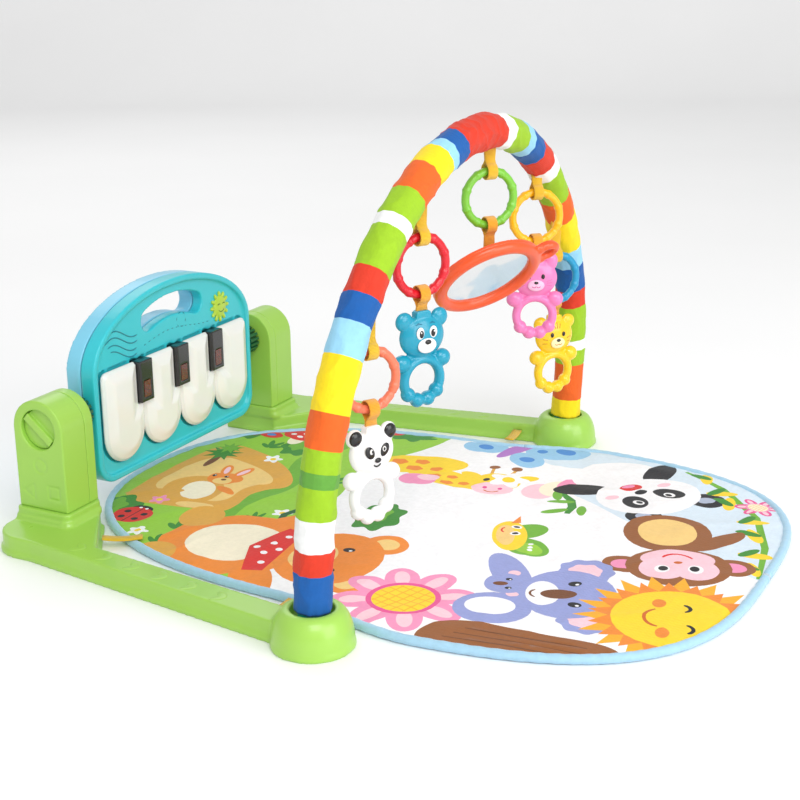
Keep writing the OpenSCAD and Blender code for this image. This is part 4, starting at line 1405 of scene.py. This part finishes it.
def build_tabs():
    """Yellow tabs sewn to the sleeve and the orange straps that carry the toys."""
    wide, thick, steps = sizes().tab_width / MM, 1.3, 800
    for i, toy in enumerate(TOYS):
        top = joint_place(f"ring_{i + 1}_swing")
        low = joint_place(f"{toy}_swing")
        turn = joint_turn(f"ring_{i + 1}_swing")
        out = Vector((math.cos(turn), math.sin(turn), 0))
        across = Vector((-math.sin(turn), math.cos(turn), 0))
        under = min((arch_point(SLEEVE_RUN * k / steps)[0] for k in range(steps + 1)),
                    key=lambda q: abs(q.x - top.x) + abs(q.z - top.z) * 0.2)
        neck = under.z - top.z - TUBE_R
        path = [top + out * x + Vector((0, 0, z)) for x, z in web_path(neck)]
        piece = ribbon(f"sleeve_tab_{i + 1}", path, pinched(path, top, wide), thick, across,
                       "webbing")
        dress(piece, "frame", "webbing")
        if i == 0:
            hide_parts("sleeve_tabs")
        neck = low.z - node_box(f"strap_{i + 1}")[0].z
        path = [low + out * x - Vector((0, 0, z)) for x, z in web_path(neck)]
        piece = ribbon(f"toy_strap_{i + 1}", path, pinched(path, low, wide), thick, across,
                       "strap_webbing")
        dress(piece, f"{toy}_toy", "webbing", f"strap_{i + 1}")


# ---------- Animal toys
def toy_matrix(toy):
    """Where a toy hangs: its x is across the face, its y up and its z to the back."""
    low = joint_place(f"{toy}_swing")
    return (Matrix.Translation(low - Vector((0, 0, TOY_DROP)))
            @ Matrix.Rotation(math.radians(90 + TOY_TURN[toy]), 4, "Z")
            @ Matrix.Rotation(math.radians(90), 4, "X"))


HEAD_Y = -22
HEAD_R = (22.5, 19.5, 9.0)
GRIP_Y = -61                    # middle of the ring that a baby holds


def on_head(x, y, lift=0.0):
    """Height of the head's front at a place of the face."""
    part = 1 - (x / HEAD_R[0]) ** 2 - ((y - HEAD_Y) / HEAD_R[1]) ** 2
    return -HEAD_R[2] * math.sqrt(max(part, 0.05)) - lift


def toy_body(toy, ink, slot, ears):
    """A head with two ears, two arms and the beaded ring below them."""
    body = Shapes(toy_matrix(toy))
    body.ball((0, HEAD_Y, 0), HEAD_R, n=36)
    ear_x, ear_y, ear_r, ear_tall = ears
    for s in (-1, 1):
        body.ball((s * ear_x, ear_y, 0), (ear_r, ear_tall, 4.6), turn=-s * 0.25, n=24)
        body.ball((s * 20.5, -44, 0), (8.6, 8.0, 6.8), n=24)
        body.rod([(s * 8, -37, 0), (s * 20.5, -44, 0)], 5.6)
    body.ring((0, GRIP_Y, 0), 18.6, 4.4, 1.15)
    for a in map(math.radians, (-141, -107, -73, -39)):
        body.ball((18.8 * math.cos(a), GRIP_Y + 18.8 * math.sin(a), 0), (6.7, 6.7, 6.7))
    body.slab([(-8, -8), (8, -8), (7.4, 0), (5, 1.5), (-5, 1.5), (-7.4, 0)], -4.2, 4.2)
    piece = body.piece(f"{toy}_figure", [ink])
    melt(piece, 0.75, 4, 0.6, ink)
    dress(piece, f"{toy}_toy", slot, f"{toy}_front", f"{toy}_back")


def toy_face(toy, inks, slot, draw):
    """Raised features of a face, in one piece with its own colours."""
    face = Shapes(toy_matrix(toy))

    def spot(x, y, rx, ry, ink, lift=0.0, turn=0.0, thick=1.1):
        face.ball((x, y, on_head(x, y, lift)), (rx, ry, thick), inks.index(ink), turn, 20)

    def stroke(points, width, ink, lift=0.2):
        face.rod([(x, y, on_head(x, y, lift)) for x, y in points], width, inks.index(ink))

    draw(spot, stroke)
    dress(face.piece(f"{toy}_face", inks), f"{toy}_toy", slot)


def smile(x, y, radius):
    return [(x + radius * math.cos(a), y + radius * math.sin(a))
            for a in map(math.radians, range(205, 336, 13))]


def build_toys():
    toy_body("bear", "bear_blue", "blue_plastic", (18, -7, 8.6, 8.6))

    def bear(spot, stroke):
        for s in (-1, 1):
            spot(s * 18, -8, 5.2, 5.2, "bear_deep", 0.6)
            spot(s * 6.6, -17, 4.0, 5.4, "toy_white", 0.1)
            spot(s * 6.0, -17.6, 2.2, 3.4, "toy_black", 0.9)
            spot(s * 6.6, -16.2, 0.8, 1.0, "toy_white", 1.6, thick=0.7)
            stroke([(s * 4, -9.6), (s * 7, -8.8), (s * 10, -10)], 0.6, "bear_deep")
        spot(0, -28.5, 9.6, 6.8, "toy_white", 0.2, thick=2.0)
        spot(0, -25, 3.2, 2.2, "toy_black", 1.6, thick=1.4)
        stroke(smile(0, -28.6, 4.2), 0.7, "toy_red", 1.9)
    toy_face("bear", ["bear_deep", "toy_white", "toy_black", "toy_red"], "white_plastic", bear)

    toy_body("panda", "toy_white", "white_plastic", (17.5, -7, 8.2, 8.2))

    def panda(spot, stroke):
        for s in (-1, 1):
            spot(s * 17.8, -6.6, 6.6, 6.6, "toy_black", 0.4, thick=3.2)
            spot(s * 7.6, -19.5, 4.4, 6.2, "toy_black", 0.1, -s * 0.6)
            spot(s * 6.8, -18.4, 1.9, 2.4, "toy_white", 0.9)
            spot(s * 6.4, -18.2, 1.0, 1.5, "toy_black", 1.4)
        spot(0, -27, 3.2, 2.2, "toy_black", 0.8, thick=1.4)
        stroke(smile(0, -29, 3.8), 0.65, "toy_black", 0.4)
    toy_face("panda", ["toy_white", "toy_black"], "black_plastic", panda)

    toy_body("cat", "cat_pink", "pink_plastic", (16, -6, 6.6, 9.4))

    def cat(spot, stroke):
        for s in (-1, 1):
            spot(s * 16, -7, 3.6, 5.4, "cat_deep", 0.4, -s * 0.25)
            spot(s * 7, -19, 1.9, 2.6, "toy_black", 0.3)
            for k in (-1, 0, 1):
                stroke([(s * 11, -26 + k * 2), (s * 16.5, -26 + k * 3.4)], 0.45, "cat_deep")
        spot(0, -28, 8.6, 6.0, "cat_pale", 0.2, thick=1.8)
        spot(0, -25, 2.2, 1.5, "toy_black", 1.4)
        stroke(smile(-2.2, -27.6, 2.2), 0.5, "cat_deep", 1.9)
        stroke(smile(2.2, -27.6, 2.2), 0.5, "cat_deep", 1.9)
    toy_face("cat", ["cat_pink", "cat_deep", "cat_pale", "toy_black"], "black_plastic", cat)

    toy_body("tiger", "tiger_yellow", "yellow_plastic", (17, -7.5, 8.0, 7.6))

    def tiger(spot, stroke):
        for s in (-1, 1):
            spot(s * 17, -8.5, 4.4, 4.2, "tiger_brown", 0.4)
            spot(s * 7, -19, 1.9, 2.6, "toy_black", 0.3)
            for k in (0, 1):
                stroke([(s * 12, -24 - k * 4), (s * 17, -23 - k * 5)], 0.75, "tiger_brown")
            stroke([(s * 4, -8), (s * 2.4, -12.4)], 0.8, "tiger_brown")
        stroke([(0, -6.4), (0, -12.6)], 0.9, "tiger_brown")
        spot(0, -28, 8.6, 6.0, "tiger_pale", 0.2, thick=1.8)
        spot(0, -25, 2.6, 1.7, "toy_black", 1.4)
        stroke(smile(-2.2, -27.6, 2.2), 0.5, "tiger_brown", 1.9)
        stroke(smile(2.2, -27.6, 2.2), 0.5, "tiger_brown", 1.9)
    toy_face("tiger", ["tiger_yellow", "tiger_brown", "tiger_pale", "toy_black"],
             "black_plastic", tiger)


# ---------- Mirror
def build_mirror():
    """A thick rounded frame with a pull lobe, and the closed back that carries the strap."""
    matrix = (Matrix.Translation(joint_place("mirror_swing") + Vector((-1, 1.4, -49)))
              @ Matrix.Rotation(math.radians(17), 4, "Z")
              @ Matrix.Rotation(math.radians(37), 4, "Y")
              @ Matrix.Rotation(math.radians(-28), 4, "X"))
    rim = Shapes(matrix)
    rim.ring((0, 0, -0.8), 47.6, 6.5, 0.9, n=120, m=24)
    rim.ring((0, -61, -0.5), 9, 3.8, 1.0)
    for s in (-1, 1):
        rim.ball((s * 9, -54, -0.5), (6, 6, 4.4))
    piece = rim.piece("mirror_rim", ["coral_plastic"])
    melt(piece, 0.9, 4, 0.6, "coral_plastic")
    dress(piece, "mirror_toy", "coral_plastic", "mirror_frame")
    soften("mirror_back", "mirror_shell", "mirror_toy", "coral_plastic", 0.8, 4)


# ---------- Stage
EYE = (-1.23819, -0.61658, 0.56422)
LOOK = (0.8455, 0.4401, -0.3024)
LEVEL = (0.4617, -0.887, 0.0)
ROLL = math.radians(-0.6)


def build_floor():
    """A pale floor that curves up far behind."""
    span, curve, steps = 4200, 600, 24
    rows = [(-span, 0), (span - curve, 0)]
    rows += [(span - curve + curve * math.sin(a), curve - curve * math.cos(a))
             for a in [math.pi / 2 * i / steps for i in range(1, steps + 1)]]
    away = Vector((0.8876, 0.4607, 0))
    side = Vector((-away.y, away.x, 0))
    points = [side * w + away * y + Vector((0, 0, z)) for y, z in rows for w in (-span, span)]
    faces = [(2 * i, 2 * i + 1, 2 * i + 3, 2 * i + 2) for i in range(len(rows) - 1)]
    new_piece("pale_floor", points, faces, ["floor"])


def build_camera():
    camera = bpy.data.cameras.new("camera")
    camera.lens = 67.52
    camera.clip_end = 30
    eye = bpy.data.objects.new("camera", camera)
    bpy.context.scene.collection.objects.link(eye)
    look = Vector(LOOK).normalized()
    right = Vector(LEVEL).normalized()
    up = right.cross(look)
    right, up = (right * math.cos(ROLL) + up * math.sin(ROLL),
                 up * math.cos(ROLL) - right * math.sin(ROLL))
    turn = Matrix((right, up, -look)).transposed().to_4x4()
    eye.matrix_world = Matrix.Translation(EYE) @ turn
    bpy.context.scene.camera = eye


def build_stage():
    """The floor, soft lights all round and the camera."""
    build_floor()
    add_area("key_light", (-1.9, -1.5, 2.3), 1.6, 44)
    add_area("fill_light", (-0.6, -2.6, 1.1), 1.8, 34)
    add_area("back_light", (1.8, 1.9, 2.2), 2.0, 16)
    world = bpy.data.worlds.new("soft_room")
    world.use_nodes = True
    world.node_tree.nodes["Background"].inputs["Color"].default_value = (1, 1, 1, 1)
    world.node_tree.nodes["Background"].inputs["Strength"].default_value = 0.66
    bpy.context.scene.world = world
    bpy.context.scene.view_settings.view_transform = "Standard"
    build_camera()


def add_area(name, place, size, power):
    light = bpy.data.lights.new(name, "AREA")
    light.size = size
    light.energy = power
    lamp = bpy.data.objects.new(name, light)
    bpy.context.scene.collection.objects.link(lamp)
    lamp.location = place
    lamp.rotation_euler = (-Vector(place)).to_track_quat("-Z", "Y").to_euler()


# ---------- Operators and panel
class PLAYGYM_OT_stage(bpy.types.Operator):
    """Sets the floor, the lights and the camera"""
    bl_idname = "playgym.stage"
    bl_label = "Stage"

    def execute(self, context):
        build_stage()
        return {"FINISHED"}


class PLAYGYM_OT_hardware(bpy.types.Operator):
    """Gives the screws, springs, tubes and inner parts their finishes"""
    bl_idname = "playgym.hardware"
    bl_label = "Hardware"

    def execute(self, context):
        dress_hardware()
        return {"FINISHED"}


class PLAYGYM_OT_base(bpy.types.Operator):
    """Makes the two bases, their towers and dials with soft moulded edges"""
    bl_idname = "playgym.base"
    bl_label = "Bases and towers"

    def execute(self, context):
        build_base()
        return {"FINISHED"}


class PLAYGYM_OT_piano(bpy.types.Operator):
    """Makes the piano's housing, keys, badge and carved lines"""
    bl_idname = "playgym.piano"
    bl_label = "Piano"

    def execute(self, context):
        build_piano()
        return {"FINISHED"}


class PLAYGYM_OT_sleeve(bpy.types.Operator):
    """Makes the striped sleeve of the arch"""
    bl_idname = "playgym.sleeve"
    bl_label = "Arch sleeve"

    def execute(self, context):
        build_sleeve()
        return {"FINISHED"}


class PLAYGYM_OT_mat(bpy.types.Operator):
    """Makes the printed mat, its binding and its loops"""
    bl_idname = "playgym.mat"
    bl_label = "Mat"

    def execute(self, context):
        build_mat()
        return {"FINISHED"}


class PLAYGYM_OT_rings(bpy.types.Operator):
    """Makes the link rings, the tabs and the straps"""
    bl_idname = "playgym.rings"
    bl_label = "Rings and straps"

    def execute(self, context):
        build_rings()
        build_tabs()
        return {"FINISHED"}


class PLAYGYM_OT_toys(bpy.types.Operator):
    """Makes the four animal rattles and their faces"""
    bl_idname = "playgym.toys"
    bl_label = "Animal toys"

    def execute(self, context):
        build_toys()
        return {"FINISHED"}


class PLAYGYM_OT_mirror(bpy.types.Operator):
    """Makes the baby mirror"""
    bl_idname = "playgym.mirror"
    bl_label = "Mirror"

    def execute(self, context):
        build_mirror()
        return {"FINISHED"}


STEPS = (PLAYGYM_OT_stage, PLAYGYM_OT_hardware, PLAYGYM_OT_base, PLAYGYM_OT_piano,
         PLAYGYM_OT_sleeve, PLAYGYM_OT_mat, PLAYGYM_OT_rings, PLAYGYM_OT_toys,
         PLAYGYM_OT_mirror)


class PLAYGYM_PT_panel(bpy.types.Panel):
    """Lists the pieces of the play gym"""
    bl_idname = "PLAYGYM_PT_panel"
    bl_label = "Play gym"
    bl_space_type = "VIEW_3D"
    bl_region_type = "UI"
    bl_category = "Play gym"

    def draw(self, context):
        layout = self.layout
        for step in STEPS:
            layout.operator(step.bl_idname)
        for group in (context.scene.play_gym_sizes, context.scene.play_gym_colours):
            for name in group.bl_rna.properties.keys():
                if name not in ("rna_type", "name"):
                    layout.prop(group, name)


CLASSES = (PlayGymColours, PlayGymSizes, *STEPS, PLAYGYM_PT_panel)


def register():
    for kind in CLASSES:
        bpy.utils.register_class(kind)
    bpy.types.Scene.play_gym_colours = PointerProperty(type=PlayGymColours)
    bpy.types.Scene.play_gym_sizes = PointerProperty(type=PlayGymSizes)


def unregister():
    del bpy.types.Scene.play_gym_sizes
    del bpy.types.Scene.play_gym_colours
    for kind in reversed(CLASSES):
        bpy.utils.unregister_class(kind)


def main():
    register()
    for step in STEPS:
        group, name = step.bl_idname.split(".")
        getattr(getattr(bpy.ops, group), name)()
    bpy.context.view_layer.update()


if __name__ == "__main__":
    main()
